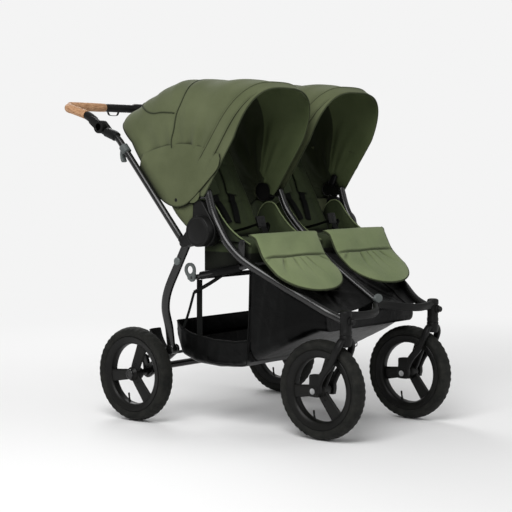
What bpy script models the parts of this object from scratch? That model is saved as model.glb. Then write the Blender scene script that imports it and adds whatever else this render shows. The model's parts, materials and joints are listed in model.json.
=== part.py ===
# Side-by-side double jogging stroller: four 12-inch wheels, folding tube frame, two seats,
# two canopies, one shopping basket and a tilting handlebar.
# Metres, +Z up, the child faces -Y, +X is the child's left. Ground is z = 0.
# Places are written from the middle between front and rear axles; the whole model is then
# moved so that its box is centred over x = 0, y = 0.
import bpy
import bmesh
from math import acos, asin, atan2, cos, degrees, pi, radians, sin, sqrt
from mathutils import Matrix, Vector

for old in list(bpy.data.objects):
    bpy.data.objects.remove(old, do_unlink=True)

# ---------------------------------------------------------------- driving dimensions
GAP = 0.0003            # clearance between faces that touch
RUN = 0.0006            # clearance beside a part that turns

WHEEL_R = 0.150
TYRE_W = 0.052
BEAD_R = WHEEL_R - 0.0335   # where the tyre sits on the rim
RIM_OPEN_R = WHEEL_R - 0.054
RIM_W = 0.040
HUB_R = 0.022
SPOKE_W = 0.038
SPOKE_T = 0.012
AXLE_R = 0.006

REAR_TRACK = 0.729      # between the middles of the rear tyres
REAR_AXLE_Y = 0.324
FRONT_TRACK = 0.463
FRONT_AXLE_Y = -0.324
CASTER_TRAIL = 0.086    # front axle behind its swivel

FORK_GAP = 0.0025       # tyre side to fork blade
BLADE_W = 0.016
BLADE_H = 0.021
CROWN_Z = 0.3175        # top of the fork, bottom of the caster head
HEAD_R = 0.0185
HEAD_H = 0.074
STEM_R = 0.008
STEM_H = 0.055
KNOB_R = 0.0095
KNOB_Z = 0.360

FRAME_R = 0.0125        # front tubes
FRAME_X = 0.339         # front tube, beside the seat
SPINE_R = 0.011
UPPER_R = 0.0105        # handle tubes
UPPER_X = 0.3695
BAR_CORE_R = 0.0112     # handlebar under its grips
GRIP_R = 0.0145
BAR_Y = 0.650
BAR_Z = 1.009
BAR_BEND = 0.045
GRIP_END_X = 0.1825     # inner end of a wood grip
HINGE = Vector((0.0, 0.042, 0.613))
HINGE_R = 0.047
HINGE_PIN_R = 0.005
HOUSING_T = 0.0317
LEG_PLATE_T = 0.0048
KNUCKLE = Vector((0.0, 0.470, 0.937))
KNUCKLE_R = 0.021
LEVER_TRAVEL = 0.010

LEG_X_TOP = 0.346
LEG_X_LOW = 0.3253
LEG_W = 0.019
LEG_H = 0.029
ARM_PIVOT = Vector((0.0, 0.203, 0.235))
ARM_T = 0.012
AXLE_TUBE = Vector((0.0, 0.298, 0.166))
AXLE_TUBE_R = 0.011
BRAKE_BAR = Vector((0.0, 0.337, 0.196))
BRAKE_BAR_R = 0.005
PEDAL_X = -0.205

SEAT_X = 0.1815         # middle of each seat
SEAT_W = 0.270
SEAT_Z = 0.600
SEAT_FLOOR_Z = 0.4970    # underside at y = 0, resting on the seat frame
BACK_HINGE = Vector((0.0, 0.080, 0.588))
BACK_LENGTH = 0.390
BACK_W = 0.272
BACK_THICK = 0.040
BACK_ANGLE = 62.0
LEG_REST_AXIS = Vector((0.0, -0.100, 0.580))
LEG_REST_W = 0.300
LEG_REST_THICK = 0.019
LEG_REST_LENGTH = 0.150

CANOPY = Vector((0.0, 0.085, 0.730))
CANOPY_SHEET = 0.0025
CANOPY_OUT_X = 0.3575
CANOPY_IN_X = 0.0118
HOOP_R = 0.3915
SEAT_FRAME_X = 0.322
SEAT_FRAME_R = 0.008
BASKET_W = 0.570
BASKET_WALL = 0.003

# ---------------------------------------------------------------- places worked out from them
CENTRE_Y = ((FRONT_AXLE_Y - WHEEL_R) + (BAR_Y + GRIP_R)) / 2
REAR_X = REAR_TRACK / 2
CASTER_X = FRONT_TRACK / 2
CASTER_Y = FRONT_AXLE_Y - CASTER_TRAIL
HOUSING_OUT_X = UPPER_X - UPPER_R - 0.0068
PLATE_IN_X = HOUSING_OUT_X + GAP
COVER_IN_X = PLATE_IN_X + LEG_PLATE_T + GAP
REAR_AXLE = Vector((0.0, REAR_AXLE_Y, WHEEL_R))
HEAD_TOP_Z = CROWN_Z + GAP + HEAD_H

SIDES = {"right": -1, "left": 1}

# ---------------------------------------------------------------- bodies: parent and joint place
BODIES = {
    "chassis": (None, Vector((0, 0, 0))),
    "handle_frame": ("chassis", HINGE),
    "rear_frame": ("chassis", HINGE),
    "rear_axle": ("rear_frame", ARM_PIVOT),
    "brake": ("rear_axle", BRAKE_BAR),
    "handlebar": ("handle_frame", KNUCKLE),
    "fold_lock": ("chassis", Vector((0, 0.106, 0.4665))),
}
for side, s in SIDES.items():
    BODIES["rear_wheel_" + side] = ("rear_axle", Vector((s * REAR_X, REAR_AXLE_Y, WHEEL_R)))
    BODIES["caster_" + side] = ("chassis", Vector((s * CASTER_X, CASTER_Y, CROWN_Z)))
    BODIES["front_wheel_" + side] = ("caster_" + side, Vector((s * CASTER_X, FRONT_AXLE_Y, WHEEL_R)))
    BODIES["swivel_lock_" + side] = ("chassis", Vector((s * CASTER_X, CASTER_Y - HEAD_R, KNOB_Z)))
    BODIES["lever_" + side] = ("handle_frame", Vector((s * UPPER_X, 0.360, 0.864)))
    BODIES["back_" + side] = ("chassis", BACK_HINGE)
    BODIES["leg_rest_" + side] = ("chassis", LEG_REST_AXIS)
    BODIES["hoop_" + side] = ("chassis", CANOPY)

empties = {}
for body, (parent, place) in BODIES.items():
    empty = bpy.data.objects.new("body_" + body, None)
    empty.empty_display_size = 0.03
    bpy.context.collection.objects.link(empty)
    empty.parent = empties.get(parent)
    empty.location = place - (BODIES[parent][1] if parent else Vector((0, CENTRE_Y, 0)))
    empties[body] = empty
# the chassis empty carries the shift that centres the box
empties["chassis"].location = Vector((0, -CENTRE_Y, 0))

# ---------------------------------------------------------------- finishes
FINISHES = {
    # name: (red, green, blue, roughness, metallic), linear
    "frame paint": (0.012, 0.012, 0.013, 0.35, 0.2),
    "black plastic": (0.014, 0.014, 0.015, 0.5, 0.0),
    "grey plastic": (0.10, 0.11, 0.115, 0.45, 0.0),
    "tyre rubber": (0.018, 0.018, 0.016, 0.8, 0.0),
    "rim plastic": (0.016, 0.016, 0.016, 0.45, 0.0),
    "steel": (0.55, 0.55, 0.55, 0.3, 1.0),
    "grip wood": (0.46, 0.24, 0.12, 0.55, 0.0),
    "olive canvas": (0.085, 0.10, 0.048, 0.85, 0.0),
    "pale olive canvas": (0.16, 0.20, 0.09, 0.8, 0.0),
    "dark olive canvas": (0.035, 0.045, 0.02, 0.9, 0.0),
    "black canvas": (0.010, 0.010, 0.011, 0.55, 0.0),
}


def finish(name):
    found = bpy.data.materials.get(name)
    if found:
        return found
    red, green, blue, rough, metal = FINISHES[name]
    made = bpy.data.materials.new(name)
    made.use_nodes = True
    shader = made.node_tree.nodes["Principled BSDF"]
    shader.inputs["Base Color"].default_value = (red, green, blue, 1.0)
    shader.inputs["Roughness"].default_value = rough
    shader.inputs["Metallic"].default_value = metal
    return made


# ---------------------------------------------------------------- modelling helpers
def put(name, bm, body="chassis", look="frame paint"):
    """Make an object of the mesh, with its origin on its body's joint."""
    bmesh.ops.recalc_face_normals(bm, faces=bm.faces)
    mesh = bpy.data.meshes.new(name)
    bm.to_mesh(mesh)
    bm.free()
    mesh.transform(Matrix.Translation(-BODIES[body][1]))
    mesh.shade_smooth()
    mesh.set_sharp_from_angle(angle=radians(35))
    mesh.materials.append(finish(look))
    made = bpy.data.objects.new(name, mesh)
    bpy.context.collection.objects.link(made)
    made.parent = empties[body]
    return made


def combine(target, tool, operation):
    """Boolean modifier with a hidden tool object."""
    tool.hide_render = True
    tool.display_type = "WIRE"
    change = target.modifiers.new(operation.lower(), "BOOLEAN")
    change.operation = operation
    change.solver = "EXACT"
    change.object = tool


def cut(target, *tools):
    for tool in tools:
        combine(target, tool, "DIFFERENCE")


def fuse(target, *tools):
    for tool in tools:
        combine(target, tool, "UNION")


def smooth_path(points, steps):
    """Catmull-Rom curve through the points, with a number of steps per span."""
    pts = [Vector(p) for p in points]
    ends = [2 * pts[0] - pts[1]] + pts + [2 * pts[-1] - pts[-2]]
    path = []
    for a, b, c, d in zip(ends, ends[1:], ends[2:], ends[3:]):
        for k in range(steps):
            t = k / steps
            path.append(0.5 * (2 * b + (c - a) * t + (2 * a - 5 * b + 4 * c - d) * t ** 2
                               + (3 * b - a - 3 * c + d) * t ** 3))
    path.append(pts[-1])
    return path


def rings_along(path, half_w, half_h, side=(1, 0, 0), sides=10):
    """Oval rings square to the path; half_w lies along the side vector."""
    path = [Vector(p) for p in path]
    tangents = []
    for k in range(len(path)):
        ahead = path[min(k + 1, len(path) - 1)]
        behind = path[max(k - 1, 0)]
        tangents.append((ahead - behind).normalized())
    u = Vector(side)
    u = (u - tangents[0] * u.dot(tangents[0])).normalized()
    rings = []
    for k, (place, tangent) in enumerate(zip(path, tangents)):
        if k:
            u = tangents[k - 1].rotation_difference(tangent) @ u
        v = tangent.cross(u)
        turns = [2 * pi * (j + 0.5) / sides for j in range(sides)]
        rings.append([place + u * half_w * cos(a) + v * half_h * sin(a) for a in turns])
    return rings


def loft(rings, loop=False):
    """Skin of quads through equal rings, with flat ends or closed on itself."""
    bm = bmesh.new()
    rows = [[bm.verts.new(p) for p in ring] for ring in rings]
    pairs = list(zip(rows, rows[1:])) + ([(rows[-1], rows[0])] if loop else [])
    for low, high in pairs:
        for j in range(len(low)):
            k = (j + 1) % len(low)
            bm.faces.new((low[j], low[k], high[k], high[j]))
    if not loop:
        bm.faces.new(rows[0])
        bm.faces.new(rows[-1])
    return bm


def tube(name, path, radius, body="chassis", look="frame paint", sides=10, side=(1, 0, 0), height=None):
    return put(name, loft(rings_along(path, radius, height or radius, side, sides)), body, look)


def sleeve(name, path, outer, inner, body, look, sides=12, side=(1, 0, 0)):
    """Bent pipe with a wall, open at both ends."""
    shells = rings_along(path, outer, outer, side, sides)
    shells += rings_along(path, inner, inner, side, sides)[::-1]
    return put(name, loft(shells, loop=True), body, look)


def turned(name, profile, centre, body="chassis", look="frame paint", steps=24, axis="X", sign=1):
    """Profile of (radius, place along the axis) spun about an axis through centre."""
    bm = bmesh.new()
    points = [bm.verts.new((sign * along, 0, radius)) for radius, along in profile]
    closed = profile[0][0] > 0 and profile[-1][0] > 0
    links = list(zip(points, points[1:])) + ([(points[-1], points[0])] if closed else [])
    edges = [bm.edges.new(pair) for pair in links]
    bmesh.ops.spin(bm, geom=points + edges, cent=(0, 0, 0), axis=(1, 0, 0), angle=2 * pi, steps=steps)
    bmesh.ops.remove_doubles(bm, verts=bm.verts, dist=1e-6)
    if axis == "Z":
        bmesh.ops.rotate(bm, verts=bm.verts, cent=(0, 0, 0), matrix=Matrix.Rotation(-pi / 2, 3, "Y"))
    if axis == "Y":
        bmesh.ops.rotate(bm, verts=bm.verts, cent=(0, 0, 0), matrix=Matrix.Rotation(pi / 2, 3, "Z"))
    bmesh.ops.translate(bm, verts=bm.verts, vec=centre)
    return put(name, bm, body, look)


def rod(name, centre, radius, x0, x1, body="chassis", look="steel", steps=12):
    """Plain cylinder along X between two places."""
    return turned(name, [(0, x0), (radius, x0), (radius, x1), (0, x1)], (0, centre.y, centre.z), body, look,
                  steps)


def prism(name, outline, x0, x1, body="chassis", look="frame paint"):
    """Flat outline of (y, z) points, made thick along X."""
    return put(name, loft([[Vector((x, y, z)) for y, z in outline] for x in (x0, x1)]), body, look)


def hull(first, first_r, second, second_r, points=6):
    """Outline round two circles and their outer tangents, in (y, z)."""
    away = (second.yz - first.yz)
    lean = atan2(away.y, away.x)
    spread = acos((first_r - second_r) / away.length)
    outline = []
    for centre, radius, start, end in ((second, second_r, lean - spread, lean + spread),
                                       (first, first_r, lean + spread, lean + 2 * pi - spread)):
        for k in range(points + 1):
            a = start + (end - start) * k / points
            outline.append((centre.y + radius * cos(a), centre.z + radius * sin(a)))
    return outline


def sheet(name, front, back, body="chassis", look="black canvas"):
    """Closed solid between two equal grids of points."""
    bm = bmesh.new()
    top = [[bm.verts.new(p) for p in row] for row in front]
    low = [[bm.verts.new(p) for p in row] for row in back]
    for grid in (top, low):
        for one, two in zip(grid, grid[1:]):
            for j in range(len(one) - 1):
                bm.faces.new((one[j], one[j + 1], two[j + 1], two[j]))
    last = len(top) - 1
    for j in range(len(top[0]) - 1):
        bm.faces.new((top[0][j], top[0][j + 1], low[0][j + 1], low[0][j]))
        bm.faces.new((top[last][j], top[last][j + 1], low[last][j + 1], low[last][j]))
    for i in range(last):
        bm.faces.new((top[i][0], top[i + 1][0], low[i + 1][0], low[i][0]))
        bm.faces.new((top[i][-1], top[i + 1][-1], low[i + 1][-1], low[i][-1]))
    return put(name, bm, body, look)


def at_y(path, y):
    """Place on a path, by its y, the path running towards -Y."""
    for a, b in zip(path, path[1:]):
        if (a.y - y) * (b.y - y) <= 0 and a.y != b.y:
            return a.lerp(b, (a.y - y) / (a.y - b.y))
    return path[-1] if y < path[-1].y else path[0]


# ---------------------------------------------------------------- wheels
SPOKE_ANGLES = (112, 232, 352)
VALVE_ANGLE = -74


def wheel(place, side, s, body, hub_half):
    """Tyre on its rim: rim ring, three flat spokes, bored hub and a valve stem."""
    x = s * (REAR_X if place == "rear" else CASTER_X)
    centre = Vector((x, BODIES[body][1].y, WHEEL_R))
    half = TYRE_W / 2
    seat = RIM_W / 2 - 0.001
    crown = ((BEAD_R, seat), (BEAD_R + 0.013, half - 0.0002), (WHEEL_R - 0.0045, half * 0.70))
    profile = list(crown) + [(WHEEL_R, 0)] + [(r, -a) for r, a in reversed(crown)]
    turned(f"tyre_{place}_{side}", profile, centre, body, "tyre rubber", 32)

    outer = BEAD_R - GAP
    rim = turned(f"rim_{place}_{side}",
                 [(outer, -RIM_W / 2), (outer, RIM_W / 2), (RIM_OPEN_R + 0.008, RIM_W / 2),
                  (RIM_OPEN_R, RIM_W / 2 - 0.006), (RIM_OPEN_R, -RIM_W / 2 + 0.006),
                  (RIM_OPEN_R + 0.008, -RIM_W / 2)], centre, body, "rim plastic", 32)
    hub = turned(f"hub_{place}_{side}",
                 [(0, -hub_half), (HUB_R * 0.6, -hub_half), (HUB_R, -hub_half + 0.006),
                  (HUB_R, hub_half - 0.006), (HUB_R * 0.6, hub_half), (0, hub_half)], centre, body,
                 "rim plastic", 14)
    fuse(rim, hub)
    for k, turn in enumerate(SPOKE_ANGLES):
        a = radians(turn)
        along = Vector((0, cos(a), sin(a)))
        across = Vector((0, -sin(a), cos(a))) * SPOKE_W / 2
        base, tip = centre + along * HUB_R * 0.5, centre + along * (RIM_OPEN_R + 0.004)
        thick = Vector((s * SPOKE_T / 2, 0, 0))
        out = Vector((s * 0.008, 0, 0))
        rings = [[p + out + across * q + thick * r for q, r in ((1, 1), (-1, 1), (-1, -1), (1, -1))]
                 for p in (base, tip)]
        fuse(rim, put(f"spoke_{place}_{side}_{k}", loft(rings), body, "rim plastic"))
    a = radians(VALVE_ANGLE)
    root = centre + Vector((0, cos(a), sin(a))) * (RIM_OPEN_R + 0.003)
    stem = [root, root + Vector((0, 0.002, 0.016)), root + Vector((0, 0.004, 0.030))]
    fuse(rim, tube(f"valve_{place}_{side}", stem, 0.003, body, "rim plastic", 6))
    bore = AXLE_R + GAP
    cut(rim, rod(f"bore_{place}_{side}", centre, bore, x - 0.06, x + 0.06, body))
    return centre


# ---------------------------------------------------------------- front casters
def caster(side, s):
    body = "caster_" + side
    x = s * CASTER_X
    blade_in = TYRE_W / 2 + FORK_GAP
    blade_mid = blade_in + BLADE_W / 2
    crown_low = CROWN_Z - 0.030
    swivel = Vector((x, CASTER_Y, 0))
    fork = turned("fork_" + side, [(0, crown_low), (HEAD_R - 0.001, crown_low), (HEAD_R, crown_low + 0.004),
                                   (HEAD_R, CROWN_Z), (STEM_R, CROWN_Z), (STEM_R, CROWN_Z + STEM_H),
                                   (0, CROWN_Z + STEM_H)], swivel, body, steps=16, axis="Z")
    axle = Vector((x, FRONT_AXLE_Y, WHEEL_R))
    for t in (-1, 1):
        legs = [(x + t * 0.006, CASTER_Y, CROWN_Z - 0.012), (x + t * 0.024, CASTER_Y + 0.001, CROWN_Z - 0.017),
                (x + t * blade_mid, CASTER_Y + 0.006, CROWN_Z - 0.040),
                (x + t * blade_mid, CASTER_Y + 0.025, CROWN_Z - 0.080),
                (x + t * blade_mid, FRONT_AXLE_Y - 0.028, WHEEL_R + 0.048),
                (x + t * blade_mid, FRONT_AXLE_Y - 0.010, WHEEL_R + 0.012)]
        fuse(fork, tube(f"blade_{side}_{t}", smooth_path(legs, 2), BLADE_W / 2 - 0.0003, body, sides=8,
                        height=BLADE_H / 2))
        block = [(FRONT_AXLE_Y - 0.019, WHEEL_R - 0.017), (FRONT_AXLE_Y + 0.017, WHEEL_R - 0.017),
                 (FRONT_AXLE_Y + 0.019, WHEEL_R - 0.012), (FRONT_AXLE_Y + 0.016, WHEEL_R + 0.045),
                 (FRONT_AXLE_Y - 0.021, WHEEL_R + 0.050), (FRONT_AXLE_Y - 0.022, WHEEL_R - 0.010)]
        near, far = sorted((x + t * blade_in, x + t * (blade_in + BLADE_W)))
        fuse(fork, prism(f"axle_block_{side}_{t}", block, near, far, body))
    cut(fork, rod("fork_bore_" + side, axle, AXLE_R + GAP, x - 0.06, x + 0.06, body))

    reach = blade_in + BLADE_W
    turned("front_axle_" + side, [(0, -reach - 0.004), (0.009, -reach - 0.004), (0.009, -reach - GAP),
                                  (AXLE_R, -reach - GAP), (AXLE_R, reach + GAP), (0.009, reach + GAP),
                                  (0.009, reach + 0.004), (0, reach + 0.004)], axle, body, "steel", 16)
    wheel("front", side, s, "front_wheel_" + side, blade_in - RUN)

    low = CROWN_Z + GAP
    head = turned("caster_head_" + side, [(0, low), (HEAD_R - 0.002, low), (HEAD_R, low + 0.003),
                                          (HEAD_R, HEAD_TOP_Z - 0.004), (HEAD_R - 0.005, HEAD_TOP_Z),
                                          (0, HEAD_TOP_Z)], swivel, "chassis", "black plastic", 18, "Z")
    bore_top = CROWN_Z + STEM_H + 0.001
    cut(head, turned("stem_bore_" + side, [(0, low - 0.01), (STEM_R + GAP, low - 0.01), (STEM_R + GAP, bore_top),
                                           (0, bore_top)], swivel, "chassis", axis="Z", steps=20))
    # swivel lock: a pull knob on the head's front, its pin in a blind hole
    front = Vector((x, CASTER_Y - HEAD_R, KNOB_Z))
    cut(head, turned("lock_hole_" + side, [(0, -0.007), (0.0033 + GAP, -0.007), (0.0033 + GAP, 0.01), (0, 0.01)],
                     front, "chassis", axis="Y", sign=-1, steps=12))
    turned("swivel_lock_" + side, [(0, -0.0065), (0.0033, -0.0065), (0.0033, 0.0012), (KNOB_R, 0.0012),
                                   (KNOB_R, 0.010), (KNOB_R - 0.002, 0.0125), (0, 0.0125)], front,
           "swivel_lock_" + side, "black plastic", 14, "Y", -1)
    return head


# ---------------------------------------------------------------- front frame
FRONT_ROUTE = ((FRAME_X, 0.036, 0.738), (FRAME_X, 0.014, 0.672), (FRAME_X, -0.014, 0.622),
               (FRAME_X - 0.001, -0.050, 0.574), (0.332, -0.107, 0.527), (0.302, -0.199, 0.471),
               (0.272, -0.270, 0.428), (CASTER_X + 0.009, -0.340, 0.385), (CASTER_X, CASTER_Y, 0.358))
FRONT_PATH = smooth_path(FRONT_ROUTE, 2)
SPINE_ROUTE = ((0, 0.030, 0.736), (0, 0.004, 0.681), (0, -0.023, 0.645), (0, -0.068, 0.601),
               (0, -0.137, 0.540), (0, -0.235, 0.472), (0, -0.312, 0.423), (0, -0.352, 0.398))
SPINE_PATH = smooth_path(SPINE_ROUTE, 2)


def mirrored(points, s):
    return [Vector((s * p[0], p[1], p[2])) for p in points]


def head_cutter(name, s, grow=GAP):
    return turned(name, [(0, 0.25), (HEAD_R + grow, 0.25), (HEAD_R + grow, 0.45), (0, 0.45)],
                  Vector((s * CASTER_X, CASTER_Y, 0)), "chassis", axis="Z", steps=20)


def front_frame():
    bar_route = []
    for s in (-1, 1):
        half = [(s * CASTER_X, CASTER_Y - 0.002, 0.377), (s * 0.185, -0.421, 0.374), (s * 0.130, -0.424, 0.373),
                (s * 0.080, -0.409, 0.377), (s * 0.035, -0.376, 0.384)]
        bar_route += half if s < 0 else half[::-1]
    bar_route.insert(5, (0, -0.357, 0.386))
    bar_path = smooth_path(bar_route, 2)
    bar = tube("front_crossbar", bar_path, 0.0095, look="black plastic", sides=8, side=(0, 1, 0), height=0.012)
    for side, s in SIDES.items():
        cut(bar, head_cutter("bar_end_" + side, s))

    spine = tube("spine_tube", SPINE_PATH, SPINE_R)
    boss = turned("canopy_boss", [(0, -SPINE_R), (0.017, -SPINE_R), (0.017, SPINE_R), (0, SPINE_R)], CANOPY,
                  "chassis", "black plastic", 20)
    fuse(spine, boss)
    link = hull(Vector((0, 0.031, 0.722)), 0.010, CANOPY, 0.013)
    fuse(spine, prism("canopy_link", link, -SPINE_R + 0.001, SPINE_R - 0.001))
    fuse(spine, prism("leg_rest_ear", hull(LEG_REST_AXIS, 0.011, Vector((0, -0.100, 0.563)), 0.012), -0.0115,
                      0.0115))
    fuse(spine, rod("leg_rest_pin", LEG_REST_AXIS, 0.003, -0.0200, 0.0200))
    cut(spine, rod("canopy_bore", CANOPY, 0.005 + GAP, -0.02, 0.02))
    grown = rings_along(bar_path, 0.0095 + GAP, 0.012 + GAP, (0, 1, 0), 8)
    cut(spine, put("bar_shape", loft(grown)))

    for side, s in SIDES.items():
        path = mirrored(FRONT_PATH, s)
        front = tube("front_tube_" + side, path, FRAME_R)
        out_x, in_x = s * (FRAME_X + FRAME_R), s * (FRAME_X - FRAME_R)
        low, high = sorted((out_x, in_x))
        link = hull(Vector((0, 0.036, 0.724)), 0.011, CANOPY, 0.020)
        fuse(front, prism("canopy_bracket_" + side, link, low + 0.0004, high - 0.0004))
        cut(front, rod("canopy_hole_" + side, CANOPY, 0.005 + GAP, *sorted((s * 0.338, s * 0.36))))
        # ear that carries the leg rest's outer arm
        ear_x = sorted((s * 0.3315, s * 0.3365))
        ear = hull(LEG_REST_AXIS, 0.012, Vector((0, -0.094, 0.546)), 0.016)
        fuse(front, prism("ear_" + side, ear, *ear_x))
        fuse(front, rod("ear_pin_" + side, LEG_REST_AXIS, 0.003, *sorted((s * 0.3250, s * 0.334))))
        cut(front, head_cutter("tube_end_" + side, s))

        # hinge housing round the pin, hollowed where the front tube passes
        inner, outer = sorted((s * (HOUSING_OUT_X - HOUSING_T), s * HOUSING_OUT_X))
        shape = hull(HINGE, HINGE_R, Vector((0, 0.062, 0.684)), 0.023, 9)
        housing = prism("hinge_housing_" + side, shape, inner, outer, look="black plastic")
        cut(housing, put("tube_shape_" + side, loft(rings_along(path, FRAME_R + GAP, FRAME_R + GAP, sides=10))))
        cut(housing, rod("pin_bore_" + side, HINGE, HINGE_PIN_R + GAP, *sorted((s * 0.30, s * 0.37))))
        pin_in = HOUSING_OUT_X - HOUSING_T - 0.003
        pin_out = COVER_IN_X + 0.014
        turned("fold_pin_" + side, [(0, pin_in), (0.009, pin_in), (0.009, pin_in + 0.0027),
                                    (HINGE_PIN_R, pin_in + 0.0027), (HINGE_PIN_R, pin_out), (0, pin_out)], HINGE,
               "chassis", "steel", 16, "X", s)
    return bar_path


# ---------------------------------------------------------------- seat frame, cushions, backs
SEAT_FRAME_ROUTE = []
for s in (-1, 1):
    half = [(s * 0.326, -0.112, 0.5180), (s * SEAT_FRAME_X, -0.094, 0.5077), (s * SEAT_FRAME_X, 0.000, 0.489),
            (s * SEAT_FRAME_X, 0.085, 0.472), (s * (SEAT_FRAME_X - 0.010), 0.112, 0.467),
            (s * (SEAT_FRAME_X - 0.045), 0.122, 0.465)]
    SEAT_FRAME_ROUTE += half if s < 0 else half[::-1]
SEAT_FRAME_PATH = smooth_path(SEAT_FRAME_ROUTE, 2)


def seats():
    frame = tube("seat_frame", SEAT_FRAME_PATH, SEAT_FRAME_R, sides=8)
    for side, s in SIDES.items():
        grown = rings_along(mirrored(FRONT_PATH, s), FRAME_R + GAP, FRAME_R + GAP)
        cut(frame, put("seat_frame_end_" + side, loft(grown)))
    lock = BODIES["fold_lock"][1]
    fuse(frame, rod("lock_stud", lock, 0.004, -0.3362, -0.322))

    for side, s in SIDES.items():
        mid = s * SEAT_X
        # cushion: crowned top, front rolled over the leg rest's hinge
        rows, cols = 9, 9
        top, low = [], []
        for i in range(rows):
            v = i / (rows - 1)
            y = 0.068 - v * 0.188
            roll = max(0.0, (v - 0.72) / 0.28)
            front_drop = 0.018 * roll ** 2
            top_row, low_row = [], []
            for j in range(cols):
                u = 2 * j / (cols - 1) - 1
                draw = 1 - 0.035 * sin(pi * v) * abs(u)
                edge = (1 - abs(u) ** 4) * (1 - abs(2 * v - 1) ** 6)
                crown = SEAT_Z - 0.022 + 0.020 * edge ** 0.5 - front_drop - 0.010 * (1 - v)
                x = mid + u * draw * SEAT_W / 2
                top_row.append(Vector((x, y, crown)))
                low_row.append(Vector((x, y + 0.006 * roll, SEAT_FLOOR_Z - 0.199 * (y + 0.006 * roll))))
            top.append(top_row)
            low.append(low_row)
        sheet("seat_cushion_" + side, top, low, look="dark olive canvas")

        # backrest: padded board leaning back from its hinge, three sewn channels
        lean = radians(BACK_ANGLE)
        up = Vector((0, cos(lean), sin(lean)))
        face = Vector((0, -sin(lean), cos(lean)))
        rows, cols = 13, 9
        front, back = [], []
        for i in range(rows):
            v = i / (rows - 1)
            place = BACK_HINGE + up * (v * BACK_LENGTH - 0.006) + Vector((mid, 0, 0))
            narrow = 1 - 0.28 * max(0.0, (v - 0.72) / 0.28) ** 2
            front_row, back_row = [], []
            for j in range(cols):
                u = 2 * j / (cols - 1) - 1
                edge = (1 - abs(u) ** 4) * (1 - abs(2 * v - 1) ** 8)
                channel = 0.86 + 0.14 * abs(cos(3 * pi * v)) ** 0.5
                x = Vector((u * narrow * BACK_W / 2, 0, 0))
                front_row.append(place + x + face * (BACK_THICK * (0.25 + 0.75 * edge ** 0.5 * channel)))
                back_row.append(place + x - face * (0.004 * edge))
            front.append(front_row)
            back.append(back_row)
        rest = sheet("backrest_" + side, front, back, "back_" + side, "dark olive canvas")
        pin_end = HOUSING_OUT_X - HOUSING_T - GAP
        fuse(rest, rod("back_pin_" + side, BACK_HINGE + up * 0.002, 0.0045, *sorted((s * 0.300, s * pin_end)),
                       "back_" + side))


# ---------------------------------------------------------------- leg rests
def leg_rests():
    lean = radians(216)
    along = Vector((0, cos(lean), sin(lean)))
    face = Vector((0, -sin(lean), cos(lean))) * -1
    start = Vector((0, -0.178, 0.524))
    for side, s in SIDES.items():
        mid = s * SEAT_X
        rows, cols = 9, 9
        top, low = [], []
        for i in range(rows):
            v = i / (rows - 1)
            # tongue outline: straight sides, then a round end
            half = LEG_REST_W / 2 * (1 - v ** 3.2) ** 0.5 if v < 1 else 0.012
            half = max(half, 0.03)
            place = start + along * (v * LEG_REST_LENGTH) + Vector((mid, 0, 0))
            top_row, low_row = [], []
            for j in range(cols):
                u = 2 * j / (cols - 1) - 1
                edge = (1 - abs(u) ** 4) * (1 - v ** 6)
                x = Vector((u * half, 0, 0))
                crown = face * (0.004 + 0.007 * edge ** 0.5)
                top_row.append(place + x + crown)
                low_row.append(place + x - face * (LEG_REST_THICK * 0.5 * (0.25 + 0.75 * edge ** 0.5)))
            top.append(top_row)
            low.append(low_row)
        pad = sheet("leg_rest_" + side, top, low, "leg_rest_" + side, "pale olive canvas")
        cross = start + along * 0.014
        fuse(pad, rod("leg_rest_rod_" + side, cross, 0.004, *sorted((s * 0.0150, s * 0.3300)),
                      "leg_rest_" + side))
        for name, x0, x1 in (("inner", 0.0130, 0.0172), ("outer", 0.3266, 0.3308)):
            arm = hull(LEG_REST_AXIS, 0.010, cross, 0.009, 8)
            fuse(pad, prism(f"leg_rest_{name}_arm_{side}", arm, *sorted((s * x0, s * x1)), "leg_rest_" + side))
        cut(pad, rod("leg_rest_bore_" + side, LEG_REST_AXIS, 0.003 + GAP, *sorted((s * 0.005, s * 0.345)),
                     "leg_rest_" + side))


# ---------------------------------------------------------------- footwells and basket
def footwells():
    for side, s in SIDES.items():
        top, low = [], []
        rows, cols = 9, 9
        for i in range(rows):
            v = i / (rows - 1)
            y = -0.125 - v * 0.215
            outer = at_y(FRONT_PATH, y)
            inner = at_y(SPINE_PATH, y)
            x_in = SPINE_R + RUN
            x_out = outer.x - FRAME_R * 1.12 - RUN
            top_row, low_row = [], []
            for j in range(cols):
                u = j / (cols - 1)
                sag = 0.022 * sin(pi * u) * (0.35 + 0.65 * sin(pi * min(1.0, v * 1.1)))
                z = inner.z + (outer.z - inner.z) * u - 0.004 - sag
                x = s * (x_in + (x_out - x_in) * u)
                top_row.append(Vector((x, y, z)))
                low_row.append(Vector((x, y, z - 0.003)))
            top.append(top_row)
            low.append(low_row)
        sheet("footwell_" + side, top, low)


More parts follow.
